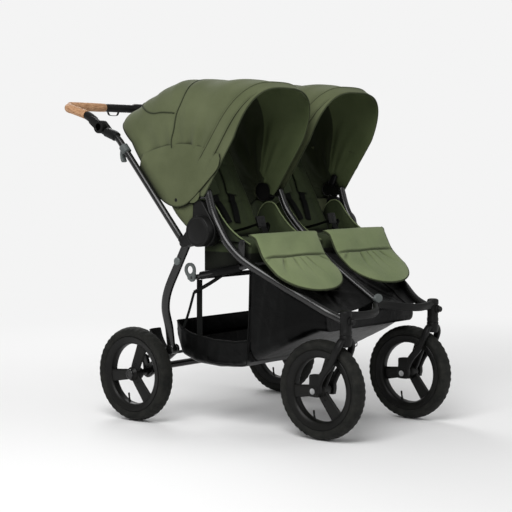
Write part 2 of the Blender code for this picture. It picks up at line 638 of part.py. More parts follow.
def basket():
    """Open fabric tub under the seats; its front rises under the footwells to the front tubes."""
    # side view of the tub: (y, lowest z, highest z, half width)
    half = BASKET_W / 2
    stations = [(0.236, 0.262, 0.318, half - 0.022), (0.205, 0.206, 0.300, half - 0.006),
                (0.150, 0.190, 0.284, half), (0.060, 0.1865, 0.272, half), (-0.030, 0.193, 0.272, half),
                (-0.083, 0.215, 0.280, half)]
    for y in (-0.090, -0.130, -0.175, -0.220, -0.265, -0.305, -0.335):
        rail = at_y(FRONT_PATH, y)
        under_seat = SEAT_FLOOR_Z - 0.199 * y - 0.004
        stations.append((y, min(0.322, 0.2045 + 0.485 * (-0.057 - y)), min(under_seat, rail.z - 0.0185),
                         min(half, rail.x - 0.012)))

    def ring(y, low, high, wide, inset, extra):
        wide -= inset
        low += inset
        high += extra
        soft = min(0.045, wide * 0.5, (high - low) * 0.45)
        points = []
        for sx, start in ((1, 0), (-1, pi / 2)):
            for k in range(5):
                a = start + pi / 2 * k / 4
                points.append(Vector((sx * (wide - soft) + soft * cos(a - pi / 2) * 1.0,
                                      y, low + soft + soft * sin(a - pi / 2) * 1.0)))
        # first corner runs from the floor to the +X wall, second from the -X wall to the floor
        right = [Vector((wide - soft + soft * sin(pi / 2 * k / 4), y, low + soft - soft * cos(pi / 2 * k / 4)))
                 for k in range(5)]
        left = [Vector((-p.x, p.y, p.z)) for p in reversed(right)]
        return right + [Vector((wide, y, high)), Vector((-wide, y, high))] + left

    outer = [ring(y, low, high, wide, 0.0, 0.0) for y, low, high, wide in stations]
    tub = put("basket", loft(outer), look="black canvas")
    inner = [ring(y, low, high, wide, BASKET_WALL, 0.10) for y, low, high, wide in stations]
    ends = [[p + Vector((0, -BASKET_WALL, 0)) for p in inner[0]]] + inner[1:-1]
    ends.append([p + Vector((0, BASKET_WALL, 0)) for p in inner[-1]])
    cut(tub, put("basket_inside", loft(ends)))
    # a hanging strap in each side wall, up to the seat frame's rear run
    grown = SEAT_FRAME_R + GAP
    for side, s in SIDES.items():
        strap = [(0.108, 0.262), (0.132, 0.262), (0.132, 0.4655), (0.108, 0.4655)]
        fuse(tub, prism("basket_strap_" + side, strap, *sorted((s * (half - 0.0025), s * (half - 0.0005)))))
    cut(tub, put("seat_frame_shape", loft(rings_along(SEAT_FRAME_PATH, grown, grown, sides=8))))


# ---------------------------------------------------------------- canopies
CANOPY_R = ((33, 0.424), (54, 0.398), (69, 0.379), (79, 0.360), (92, 0.347), (110, 0.362), (127, 0.3825))


def canopy_radius(turn):
    """Roof height above the pivot for an angle from +Y, straight between the hoops."""
    for (a, ra), (b, rb) in zip(CANOPY_R, CANOPY_R[1:]):
        if turn <= b:
            t = min(1.0, max(0.0, (turn - a) / (b - a)))
            t = t * t * (3 - 2 * t)
            return ra + (rb - ra) * t
    return CANOPY_R[-1][1]


def hoop_shape(u):
    """Hoop curve for u from -1 to 1: share of the width, and share of the height."""
    a = (1 - abs(u)) * pi / 2 * 1.55
    if a < pi * 0.275:
        t = a / (pi * 0.275)
        return 1.0, 0.075 + 0.475 * t
    b = (a - pi * 0.275) / (pi / 2 * 1.55 - pi * 0.275) * pi / 2
    return cos(b) ** (2 / 3), 0.55 + 0.45 * sin(b) ** (2 / 2.6)


def canopies():
    for side, s in SIDES.items():
        mid = s * (CANOPY_OUT_X + CANOPY_IN_X) / 2
        wide = (CANOPY_OUT_X - CANOPY_IN_X) / 2
        cols, rows = 19, 9

        def point(turn, across, up, half, radius):
            a = radians(turn)
            return CANOPY + Vector((mid + across * half, up * radius * cos(a), up * radius * sin(a)))

        def front_edge(r, up):
            slip = 0.046 - 0.030 * max(0.0, (up - 0.6) / 0.4)
            return 124 + degrees(asin(min(0.95, slip / r)))

        def rear_edge(r, up):
            slip = 0.027 + 0.046 * min(1.0, max(0.0, (0.27 - r) / 0.13))
            return 36 - degrees(asin(min(0.97, slip / r)))

        fabric_half = wide - CANOPY_SHEET - 0.0005
        outer, inner = [], []
        for i in range(rows):
            v = i / (rows - 1)
            out_row, in_row = [], []
            for j in range(cols):
                share, up = hoop_shape(2 * j / (cols - 1) - 1)
                across = share * (1 if j > (cols - 1) / 2 else -1)
                if j == (cols - 1) // 2:
                    across = 0.0
                r = up * 0.39
                start, end = rear_edge(r, up), front_edge(r, up)
                turn = start + (end - start) * v
                radius = canopy_radius(turn)
                out_row.append(point(turn, across, up, fabric_half, radius))
                in_row.append(point(turn, across, up, fabric_half - CANOPY_SHEET, radius - CANOPY_SHEET))
            outer.append(out_row)
            inner.append(in_row)
        sheet("canopy_" + side, outer, inner, look="olive canvas")

        # front hoop: a band outside the fabric's edge, on a pivot disc each side
        outer, inner = [], []
        for i in range(2):
            out_row, in_row = [], []
            for j in range(cols):
                share, up = hoop_shape(2 * j / (cols - 1) - 1)
                across = share * (1 if j > (cols - 1) / 2 else -1)
                if j == (cols - 1) // 2:
                    across = 0.0
                r = up * 0.39
                end = 124 + degrees(asin(min(0.95, 0.010 / r)))
                turn = end - i * (4.8 + 2.0 * (1 - up)) * 0.39 / max(r, 0.10)
                out_row.append(point(turn, across, up, wide, HOOP_R))
                in_row.append(point(turn, across, up, wide - CANOPY_SHEET, HOOP_R - CANOPY_SHEET))
            outer.append(out_row)
            inner.append(in_row)
        body = "hoop_" + side
        hoop = sheet("canopy_hoop_" + side, outer, inner, body, "olive canvas")
        for name, x0, x1, pin0, pin1 in (
                ("outer", CANOPY_OUT_X - CANOPY_SHEET, CANOPY_OUT_X, 0.3400, CANOPY_OUT_X - 0.001),
                ("inner", CANOPY_IN_X, CANOPY_IN_X + CANOPY_SHEET, 0.0040, CANOPY_IN_X + 0.001)):
            fuse(hoop, rod(f"hoop_disc_{name}_{side}", CANOPY, 0.0330,
                           *sorted((s * (x0 + 0.0002), s * (x1 - 0.0002))), body, steps=16))
            fuse(hoop, rod(f"hoop_pin_{name}_{side}", CANOPY, 0.005, *sorted((s * pin0, s * pin1)), body))


# ---------------------------------------------------------------- handle frame
UPPER_FOOT = Vector((0, 0.112, 0.583))
UPPER_TOP = Vector((0, 0.383, 0.890))


def handle_frame():
    run = (UPPER_TOP - UPPER_FOOT).normalized()
    for side, s in SIDES.items():
        x = Vector((s * UPPER_X, 0, 0))
        # turning cover of the fold hinge, with a stub for the handle tube
        cover_in, cover_out = COVER_IN_X, UPPER_X + UPPER_R + 0.0012
        cover = turned("hinge_cover_" + side,
                       [(0, cover_in), (HINGE_R, cover_in), (HINGE_R, cover_out - 0.003),
                        (HINGE_R - 0.004, cover_out), (0, cover_out + 0.003)], HINGE, "handle_frame", "black plastic", 24, "X", s)
        lug = hull(HINGE, HINGE_R - 0.012, UPPER_FOOT - run * 0.010, 0.012, 8)
        fuse(cover, prism("cover_lug_" + side, lug, *sorted((s * (cover_in + 0.0004), s * (cover_out - 0.0015))),
                          "handle_frame", "black plastic"))
        stub = [UPPER_FOOT - run * 0.012 + x, UPPER_FOOT + run * (0.012 - GAP) + x]
        fuse(cover, tube("cover_stub_" + side, stub, UPPER_R + 0.0004, "handle_frame", "black plastic", 12))
        bore_end = COVER_IN_X + 0.014 + GAP
        cut(cover, rod("cover_bore_" + side, HINGE, HINGE_PIN_R + GAP,
                       *sorted((s * (cover_in - 0.01), s * bore_end)), "handle_frame"))

        # handle tube, straight to the lever, then bent into the knuckle
        knuckle_start = KNUCKLE + Vector((0, -0.0235, -0.0160))
        bend = [UPPER_TOP, Vector((0, 0.402, 0.9055)), Vector((0, 0.422, 0.9135)), knuckle_start]
        path = [UPPER_FOOT + run * 0.012 + x, UPPER_FOOT + run * 0.2 + x]
        path += [p + x for p in smooth_path(bend, 2)]
        tube("upper_tube_" + side, path, UPPER_R, "handle_frame", sides=10)

        # knuckle: sleeve on the tube, inner cheek of the tilt joint
        sleeve_path = [p + x for p in smooth_path(bend[:3] + [KNUCKLE + Vector((0, -0.0230, -0.0155))], 2)][1:]
        knuckle = tube("knuckle_" + side, sleeve_path, 0.0155, "handle_frame", "black plastic", 10)
        cheek_in, cheek_out = UPPER_X - 0.0155, UPPER_X - 0.0030
        shape = hull(KNUCKLE, KNUCKLE_R, Vector((0, 0.440, 0.9165)), 0.0150, 8)
        fuse(knuckle, prism("cheek_" + side, shape, *sorted((s * cheek_in, s * cheek_out)), "handle_frame"))
        socket = path[:-1] + [path[-1] + (path[-1] - path[-2]).normalized() * GAP]
        grown = rings_along(socket, UPPER_R + GAP, UPPER_R + GAP, sides=10)
        cut(knuckle, put("knuckle_socket_" + side, loft(grown), "handle_frame"))
        cut(knuckle, rod("knuckle_bore_" + side, KNUCKLE, 0.006 + GAP,
                         *sorted((s * (cheek_in + 0.003), s * 0.40)), "handle_frame"))

        # fold lever: a sliding collar with a finger catch
        body = "lever_" + side
        at = BODIES[body][1]
        collar = [at - run * 0.015, at + run * 0.0145]
        lever = tube("fold_lever_" + side, collar, 0.0150, body, "grey plastic", 12)
        catch = Vector((0, run.z, -run.y))
        finger = [at + run * 0.004 + catch * 0.008, at - run * 0.004 + catch * 0.018,
                  at - run * 0.016 + catch * 0.026, at - run * 0.027 + catch * 0.029]
        fuse(lever, tube("catch_" + side, smooth_path(finger, 2), 0.011, body, "grey plastic", 8, height=0.005))
        channel = [at - run * 0.05, at + run * 0.05]
        cut(lever, tube("lever_bore_" + side, channel, UPPER_R + GAP, body, "grey plastic", 10))


def handlebar():
    """U-shaped bar: a hub on each side, arms that rise to the bend, and a straight crossbar."""
    route, arms = [], {}
    for side, s in SIDES.items():
        rise = [(s * UPPER_X, 0.4895, 0.9500), (s * UPPER_X, 0.5115, 0.9640), (s * UPPER_X, 0.537, 0.9765),
                (s * UPPER_X, 0.575, 0.9880), (s * UPPER_X, BAR_Y - BAR_BEND, 0.9965)]
        arm = [Vector(p) for p in rise]
        corner = []
        for k in range(1, 5):
            a = pi / 2 * k / 5
            corner.append(Vector((s * (UPPER_X - BAR_BEND * (1 - cos(a))), BAR_Y - BAR_BEND * (1 - sin(a)),
                                  0.9965 + (BAR_Z - 0.9965) * k / 5)))
        run = [Vector((s * (UPPER_X - BAR_BEND), BAR_Y, BAR_Z)), Vector((s * GRIP_END_X, BAR_Y, BAR_Z))]
        arms[side] = arm + corner + run
    path = arms["right"] + arms["left"][::-1]
    bar = tube("handlebar_tube", path, BAR_CORE_R, "handlebar", "black plastic", 10)
    for side, s in SIDES.items():
        hub_in, hub_out = UPPER_X - 0.0030 + RUN, UPPER_X + 0.0150
        hub = turned("tilt_hub_" + side,
                     [(0, UPPER_X - 0.0115), (0.006, UPPER_X - 0.0115), (0.006, hub_in), (KNUCKLE_R, hub_in),
                      (KNUCKLE_R, hub_out - 0.002), (KNUCKLE_R - 0.003, hub_out), (0, hub_out)], KNUCKLE,
                     "handlebar", "black plastic", 20, "X", s)
        fuse(bar, hub)
        tongue = hull(KNUCKLE, 0.0160, Vector((0, 0.503, 0.9585)), 0.0135, 8)
        fuse(bar, prism("tongue_" + side, tongue, *sorted((s * (hub_in + 0.0003), s * (hub_out - 0.001))),
                        "handlebar"))
        shank = arms[side][:3]
        shank[0] = shank[0] + (shank[1] - shank[0]) * 0.15
        fuse(bar, tube("shank_" + side, shank, GRIP_R - 0.0002, "handlebar", "black plastic", 10))
        start = shank[-1] + (arms[side][3] - shank[-1]).normalized() * 0.0024
        grip_path = [start] + arms[side][3:]
        sleeve("grip_" + side, grip_path, GRIP_R, BAR_CORE_R + GAP, "handlebar", "grip wood", 10)

    end = GRIP_END_X - GAP
    rest = BAR_CORE_R + GAP
    console = turned("centre_console",
                     [(rest, -end), (0.0132, -end), (0.0132, -0.052), (0.0168, -0.045), (0.0168, 0.045),
                      (0.0132, 0.052), (0.0132, end), (rest, end)], Vector((0, BAR_Y, BAR_Z)), "handlebar",
                     "black plastic", 16)
    z = BAR_Z - 0.0118
    loop = [(-0.168, BAR_Y, z), (-0.163, BAR_Y, z - 0.010), (-0.155, BAR_Y, z - 0.0135),
            (-0.130, BAR_Y, z - 0.0135), (-0.122, BAR_Y, z - 0.010), (-0.117, BAR_Y, z)]
    fuse(console, tube("strap_loop", smooth_path(loop, 2), 0.0045, "handlebar", "black plastic", 6,
                       side=(0, 1, 0), height=0.0013))


# ---------------------------------------------------------------- rear frame, axle, brake
def rear_frame():
    for side, s in SIDES.items():
        plate_in, plate_out = PLATE_IN_X, PLATE_IN_X + LEG_PLATE_T
        foot = Vector((0, 0.1135, 0.5745))
        outline = hull(HINGE, 0.040, foot, 0.0150, 9)
        leg = prism("rear_leg_" + side, outline, *sorted((s * plate_in, s * plate_out)), "rear_frame")
        route = [(s * LEG_X_TOP, 0.1105, 0.5800), (s * LEG_X_TOP, 0.1530, 0.5040), (s * LEG_X_TOP, 0.196, 0.424),
                 (s * (LEG_X_TOP - 0.002), 0.2095, 0.366), (s * (LEG_X_TOP - 0.010), 0.202, 0.303),
                 (s * LEG_X_LOW, ARM_PIVOT.y, ARM_PIVOT.z)]
        fuse(leg, tube("leg_tube_" + side, smooth_path(route, 2), LEG_W / 2, "rear_frame", sides=8,
                       height=LEG_H / 2))
        low_in, low_out = LEG_X_LOW - 0.0112, LEG_X_LOW + 0.0112
        fuse(leg, rod("leg_foot_" + side, ARM_PIVOT, 0.0165, *sorted((s * low_in, s * low_out)), "rear_frame",
                      steps=14))
        fuse(leg, rod("arm_pin_" + side, ARM_PIVOT, 0.005, *sorted((s * (low_in - ARM_T - 0.002), s * LEG_X_LOW)),
                      "rear_frame"))
        cut(leg, rod("plate_bore_" + side, HINGE, HINGE_PIN_R + GAP, *sorted((s * 0.34, s * 0.37)), "rear_frame"))
        # round catch that the fold lock drops over
        stud = Vector((0, 0.146, 0.5165))
        turned("catch_stud_" + side, [(0, LEG_X_TOP + 0.0097), (0.0125, LEG_X_TOP + 0.0097),
                                      (0.0125, LEG_X_TOP + 0.0145), (0.0100, LEG_X_TOP + 0.0165),
                                      (0, LEG_X_TOP + 0.0165)], stud, "rear_frame", "grey plastic", 18, "X", s)


def rear_axle():
    arm_out = LEG_X_LOW - 0.0112 - GAP
    arm_in = arm_out - ARM_T
    axle = rod("rear_axle", AXLE_TUBE, AXLE_TUBE_R, -arm_out + 0.001, arm_out - 0.001, "rear_axle",
               "frame paint", 16)
    fuse(axle, rod("brake_bar", BRAKE_BAR, BRAKE_BAR_R, -arm_out + 0.001, arm_out - 0.001, "rear_axle",
                   "frame paint", 14))
    for side, s in SIDES.items():
        span = sorted((s * arm_in, s * arm_out))
        fuse(axle, prism("arm_" + side, hull(ARM_PIVOT, 0.0150, REAR_AXLE, 0.0190), *span, "rear_axle"))
        ear = sorted((s * (arm_in + 0.0004), s * (arm_out - 0.0004)))
        fuse(axle, prism("arm_ear_" + side, hull(REAR_AXLE, 0.0160, BRAKE_BAR, 0.0100), *ear, "rear_axle"))
        hub_in = REAR_X - TYRE_W / 2
        hub_out = REAR_X + TYRE_W / 2 - 0.001
        fuse(axle, turned("stub_" + side,
                          [(0, arm_out - 0.004), (0.011, arm_out - 0.004), (0.011, hub_in - RUN),
                           (AXLE_R, hub_in - RUN), (AXLE_R, hub_out + RUN), (0.0155, hub_out + RUN),
                           (0.0155, hub_out + 0.004), (0.0125, hub_out + 0.0055), (0, hub_out + 0.0055)],
                          REAR_AXLE, "rear_axle", "frame paint", 18, "X", s))
        cut(axle, rod("arm_bore_" + side, ARM_PIVOT, 0.005 + GAP, *sorted((s * 0.28, s * 0.33)), "rear_axle"))
        wheel("rear", side, s, "rear_wheel_" + side, TYRE_W / 2 - 0.001)

    pedal = turned("brake_pedal", [(BRAKE_BAR_R + GAP, PEDAL_X - 0.016), (0.0105, PEDAL_X - 0.016),
                                   (0.0105, PEDAL_X + 0.016), (BRAKE_BAR_R + GAP, PEDAL_X + 0.016)], BRAKE_BAR,
                   "brake", "black plastic", 14)
    arm = [BRAKE_BAR + Vector((PEDAL_X, 0.008, 0.004)), BRAKE_BAR + Vector((PEDAL_X, 0.028, 0.022)),
           BRAKE_BAR + Vector((PEDAL_X, 0.046, 0.050)), BRAKE_BAR + Vector((PEDAL_X, 0.056, 0.080))]
    fuse(pedal, tube("pedal_arm", smooth_path(arm, 2), 0.026, "brake", "black plastic", 10, height=0.006))


def fold_lock():
    at = BODIES["fold_lock"][1]
    ring = Vector((0, 0.1135, 0.4905))
    outer, inner = -0.3361, -0.3308
    hook = prism("fold_lock_hook", hull(ring, 0.0225, at, 0.0130, 8), outer, inner, "fold_lock", "grey plastic")
    cut(hook, rod("hook_eye", ring, 0.0125, -0.35, -0.32, "fold_lock", steps=14))
    cut(hook, rod("hook_bore", at, 0.004 + GAP, -0.35, -0.32, "fold_lock"))


for side, s in SIDES.items():
    caster(side, s)
front_frame()
seats()
leg_rests()
footwells()
basket()
canopies()
handle_frame()
handlebar()
rear_frame()
rear_axle()
fold_lock()
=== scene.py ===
import bpy
import bmesh
import json
import numpy as np
from math import pi, radians
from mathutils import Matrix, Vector

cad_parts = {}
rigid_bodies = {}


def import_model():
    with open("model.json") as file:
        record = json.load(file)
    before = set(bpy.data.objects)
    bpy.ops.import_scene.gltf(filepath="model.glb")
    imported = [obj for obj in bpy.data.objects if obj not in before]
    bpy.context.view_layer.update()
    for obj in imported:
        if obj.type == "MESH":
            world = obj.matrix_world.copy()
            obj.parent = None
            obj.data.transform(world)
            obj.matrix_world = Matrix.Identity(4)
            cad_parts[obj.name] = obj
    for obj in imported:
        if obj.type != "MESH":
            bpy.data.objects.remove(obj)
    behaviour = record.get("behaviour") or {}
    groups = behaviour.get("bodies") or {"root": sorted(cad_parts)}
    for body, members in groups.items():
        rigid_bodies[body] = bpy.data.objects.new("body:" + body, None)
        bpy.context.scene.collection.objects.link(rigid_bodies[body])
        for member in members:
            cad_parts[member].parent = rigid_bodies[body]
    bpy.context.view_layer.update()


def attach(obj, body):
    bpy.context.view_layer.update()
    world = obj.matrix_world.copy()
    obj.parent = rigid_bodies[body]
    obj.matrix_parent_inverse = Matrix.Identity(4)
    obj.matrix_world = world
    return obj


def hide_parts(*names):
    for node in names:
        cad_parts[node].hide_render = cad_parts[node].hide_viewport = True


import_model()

centreY = 0.09525  # the frame's shift along Y, taken off when a mesh is made
sides = {"right": -1, "left": 1}
hinge = (0.042, 0.613)  # places in side view are (y, z), in metres
axleRear, axleFront, casterPivot = (0.324, 0.15), (-0.324, 0.15), (-0.41, 0.3175)
canopyPivot = (0.085, 0.73)
trackRear, trackFront = 0.3645, 0.2315


# small tools for nodes and meshes
def toLinear(code):
    value = np.array([int(code[k:k + 2], 16) for k in (1, 3, 5)]) / 255
    value = np.where(value <= 0.04045, value / 12.92, ((value + 0.055) / 1.055) ** 2.4)
    return tuple(float(v) for v in value) + (1.0,)


def addNode(tree, kind, values=None, links=None, **settings):
    node = tree.nodes.new("ShaderNode" + kind)
    for key, value in settings.items():
        setattr(node, key, value)
    for socket, value in (values or {}).items():
        node.inputs[socket].default_value = value
    for socket, source in (links or {}).items():
        tree.links.new(source, node.inputs[socket])
    return node


def newMaterial(name, roughness, metallic=0.0, sheen=0.0, coat=0.0, specular=0.2):
    material = bpy.data.materials.new(name)
    material.use_nodes = True
    shader = material.node_tree.nodes["Principled BSDF"]
    shader.inputs["Roughness"].default_value = roughness
    shader.inputs["Metallic"].default_value = metallic
    shader.inputs["Sheen Weight"].default_value = sheen
    shader.inputs["Coat Weight"].default_value = coat
    shader.inputs["Specular IOR Level"].default_value = specular
    return material, material.node_tree, shader


def mottled(tree, source, dark, light, perMetre, detail=4.0):
    # colour drifting between two shades in soft patches
    noise = addNode(tree, "TexNoise", {"Scale": perMetre, "Detail": detail}, {"Vector": source})
    ramp = addNode(tree, "ValToRGB", links={"Fac": noise.outputs["Fac"]})
    ramp.color_ramp.elements[0].position, ramp.color_ramp.elements[1].position = 0.34, 0.66
    ramp.color_ramp.elements[0].color, ramp.color_ramp.elements[1].color = toLinear(dark), toLinear(light)
    return ramp.outputs["Color"]


def roughen(tree, shader, height, strength, distance, under=None):
    # bump from a height, over an earlier bump if one is given
    links = {"Height": height} if under is None else {"Height": height, "Normal": under}
    bump = addNode(tree, "Bump", {"Strength": strength, "Distance": distance}, links)
    tree.links.new(bump.outputs["Normal"], shader.inputs["Normal"])
    return bump.outputs["Normal"]


def wovenCanvas(name, dark, light, threadMm, roughness=0.85, sheen=0.15, creaseMm=1.2, specular=0.2):
    # Polyester canvas, plain weave: two sets of threads over and under, a soft nap and shallow creases, with
    # painted shade darkening the folds.
    # The true thread is 0.5 mm; it is drawn coarser so that it shows.
    material, tree, shader = newMaterial(name, roughness, sheen=sheen, specular=specular)
    place = addNode(tree, "TexCoord")
    waveScale = 0.314 / (threadMm / 1000)  # a band pattern of scale 1 repeats each 0.314 m
    warp = addNode(tree, "TexWave", {"Scale": waveScale, "Distortion": 0.4}, {"Vector": place.outputs["UV"]})
    weft = addNode(tree, "TexWave", {"Scale": waveScale, "Distortion": 0.4}, {"Vector": place.outputs["UV"]},
                   bands_direction="Y")
    thread = addNode(tree, "Math", links={0: warp.outputs["Fac"], 1: weft.outputs["Fac"]}, operation="MAXIMUM")
    crease = addNode(tree, "TexNoise", {"Scale": 22.0, "Detail": 3.0, "Distortion": 0.8},
                     {"Vector": place.outputs["Object"]})
    creases = roughen(tree, shader, crease.outputs["Fac"], 0.6, creaseMm / 1000)
    roughen(tree, shader, thread.outputs[0], 0.35, 0.0003, creases)
    shade = mottled(tree, place.outputs["Object"], dark, light, 7.0, 8.0)
    weave = addNode(tree, "MapRange", {"From Min": 0.2, "From Max": 1.0, "To Min": 0.88, "To Max": 1.06},
                    {"Value": thread.outputs[0]})
    tint = addNode(tree, "VectorMath", links={0: shade, 1: weave.outputs[0]}, operation="MULTIPLY")
    # painted shade: folds collect less light than the soft studio gives them, so the base colour is darkened
    # there by ambient occlusion
    hollow = addNode(tree, "AmbientOcclusion", {"Distance": 0.03}, samples=8)
    depth = addNode(tree, "Math", {1: 1.4}, {0: hollow.outputs["AO"]}, operation="POWER")
    creaseShadedTint = addNode(tree, "VectorMath", links={0: tint.outputs[0], 1: depth.outputs[0]}, operation="MULTIPLY")
    tree.links.new(creaseShadedTint.outputs[0], shader.inputs["Base Color"])
    return material


def mouldedPlastic(name, dark, light, roughness, grainMm=0.8, coat=0.0):
    # Injection-moulded nylon: fine spark-eroded grain, slightly uneven gloss.
    material, tree, shader = newMaterial(name, roughness, coat=coat)
    place = addNode(tree, "TexCoord").outputs["Object"]
    grain = addNode(tree, "TexNoise", {"Scale": 1000 / grainMm, "Detail": 2.0}, {"Vector": place})
    roughen(tree, shader, grain.outputs["Fac"], 0.2, 0.00015)
    tree.links.new(mottled(tree, place, dark, light, 14.0), shader.inputs["Base Color"])
    wear = addNode(tree, "TexNoise", {"Scale": 30.0, "Detail": 5.0}, {"Vector": place})
    gloss = addNode(tree, "MapRange", {"To Min": roughness - 0.07, "To Max": roughness + 0.1},
                    {"Value": wear.outputs["Fac"]})
    tree.links.new(gloss.outputs[0], shader.inputs["Roughness"])
    return material


def powderCoat():
    # Powder-coated aluminium tube: near-black, semi-gloss, with a faint orange peel.
    material, tree, shader = newMaterial("powderCoatBlack", 0.27, specular=0.55)
    place = addNode(tree, "TexCoord").outputs["Object"]
    peel = addNode(tree, "TexVoronoi", {"Scale": 600.0}, {"Vector": place})
    roughen(tree, shader, peel.outputs["Distance"], 0.008, 0.0002)
    tree.links.new(mottled(tree, place, "#070707", "#0d0d0c", 10.0), shader.inputs["Base Color"])
    return material


def tyreRubber():
    # Vulcanised rubber: dull, with lighter dusty patches.
    material, tree, shader = newMaterial("tyreRubber", 0.78)
    place = addNode(tree, "TexCoord").outputs["Object"]
    grit = addNode(tree, "TexNoise", {"Scale": 500.0, "Detail": 4.0}, {"Vector": place})
    roughen(tree, shader, grit.outputs["Fac"], 0.3, 0.0003)
    tree.links.new(mottled(tree, place, "#131412", "#22221f", 40.0, 6.0), shader.inputs["Base Color"])
    return material


def corkGrip():
    # Cork composite grip: tan, with long darker flecks and small pores.
    material, tree, shader = newMaterial("corkGrip", 0.62)
    place = addNode(tree, "TexCoord")
    stretch = addNode(tree, "Mapping", {"Scale": (260.0, 45.0, 1.0)}, {"Vector": place.outputs["UV"]})
    grain = addNode(tree, "TexNoise", {"Scale": 1.0, "Detail": 7.0, "Roughness": 0.65},
                    {"Vector": stretch.outputs[0]})
    ramp = addNode(tree, "ValToRGB", links={"Fac": grain.outputs["Fac"]})
    ramp.color_ramp.elements[0].position, ramp.color_ramp.elements[1].position = 0.33, 0.62
    ramp.color_ramp.elements[0].color = toLinear("#8a5f40")
    ramp.color_ramp.elements[1].color = toLinear("#c49c78")
    tree.links.new(ramp.outputs["Color"], shader.inputs["Base Color"])
    roughen(tree, shader, grain.outputs["Fac"], 0.3, 0.0004)
    return material


def turnedSteel():
    # Zinc-plated steel with turning marks.
    material, tree, shader = newMaterial("turnedSteel", 0.32, metallic=1.0)
    place = addNode(tree, "TexCoord").outputs["Object"]
    tree.links.new(mottled(tree, place, "#8f9091", "#b4b5b5", 60.0), shader.inputs["Base Color"])
    marks = addNode(tree, "TexNoise", {"Scale": 900.0}, {"Vector": place})
    roughen(tree, shader, marks.outputs["Fac"], 0.1, 0.0001)
    return material


def shaded(material, source, axis, start, end, dark):
    # multiply the base colour from a dark factor up to 1 along one coordinate, as between two sewn cloths
    tree = material.node_tree
    shader = tree.nodes["Principled BSDF"]
    old = shader.inputs["Base Color"].links[0].from_socket
    place = addNode(tree, "TexCoord")
    split = addNode(tree, "SeparateXYZ", links={0: place.outputs[source]})
    fade = addNode(tree, "MapRange", {"From Min": start, "From Max": end, "To Min": dark},
                   {"Value": split.outputs[axis]})
    tint = addNode(tree, "VectorMath", links={0: old, 1: fade.outputs[0]}, operation="MULTIPLY")
    tree.links.new(tint.outputs[0], shader.inputs["Base Color"])
    return material


looks = {
    "tube": powderCoat(),
    "plastic": mouldedPlastic("mouldedNylonBlack", "#0b0b0b", "#121211", 0.46),
    "rim": mouldedPlastic("mouldedNylonRim", "#0c0c0b", "#131311", 0.4),
    "grey": mouldedPlastic("mouldedNylonGrey", "#4b504f", "#5d6261", 0.42),
    "rubber": tyreRubber(),
    "cork": corkGrip(),
    "steel": turnedSteel(),
    # every woven cloth look below has painted shade darkening its folds
    "canopy": wovenCanvas("canopyCanvas", "#4d5339", "#5a6045", 2.2, 0.85, 0.05),
    "lining": shaded(wovenCanvas("canopyLining", "#4a5436", "#566041", 2.2, 0.9, 0.0),
                     "UV", "Y", 0.3, 0.304, 0.28),
    "pad": wovenCanvas("legRestCanvas", "#66724f", "#76815c", 2.0, 0.75, 0.08, 2.5),
    "seat": wovenCanvas("seatCanvas", "#2b3320", "#3a432a", 2.0, 0.8, 0.03, 3.0),
    "seatBase": shaded(wovenCanvas("seatCanvasBlackBase", "#2b3320", "#3a432a", 2.0, 0.8, 0.03, 3.0),
                       "Object", "Z", 0.548, 0.552, 0.12),
    "piping": wovenCanvas("pipingCanvas", "#2c3220", "#363c28", 1.6, 0.8, 0.0, 0.4),
    "nylon": wovenCanvas("coatedNylon", "#030303", "#070808", 1.8, 0.32, 0.0, 4.0, 0.11),
    "webbing": wovenCanvas("harnessWebbing", "#070807", "#0c0d0c", 1.8, 0.7, 0.0, 0.5, 0.12),
}
print("materials ready:", len(looks))


def gridFaces(rows, cols, loopRows=False, loopCols=False):
    # quads between neighbouring points of a rows x cols grid
    index = np.arange(rows * cols).reshape(rows, cols)
    if loopRows:
        index = np.vstack([index, index[:1]])
    if loopCols:
        index = np.hstack([index, index[:, :1]])
    return np.stack([index[:-1, :-1], index[1:, :-1], index[1:, 1:], index[:-1, 1:]], -1).reshape(-1, 4)


def gridPart(points, loopRows=False, loopCols=False):
    # a part is (points, faces, uv in metres along the surface)
    rows, cols = points.shape[:2]
    alongRow = np.linalg.norm(np.diff(points, axis=0), axis=2).mean(axis=1)
    alongCol = np.linalg.norm(np.diff(points, axis=1), axis=2).mean(axis=0)
    v = np.concatenate([[0], np.cumsum(alongRow)])
    u = np.concatenate([[0], np.cumsum(alongCol)])
    uv = np.stack(np.broadcast_arrays(u[None, :], v[:, None]), -1).reshape(-1, 2)
    return points.reshape(-1, 3), gridFaces(rows, cols, loopRows, loopCols), uv


def joinParts(parts):
    offset = np.cumsum([0] + [len(p[0]) for p in parts[:-1]])
    return (np.vstack([p[0] for p in parts]), np.vstack([p[1] + k for p, k in zip(parts, offset)]),
            np.vstack([p[2] for p in parts]))


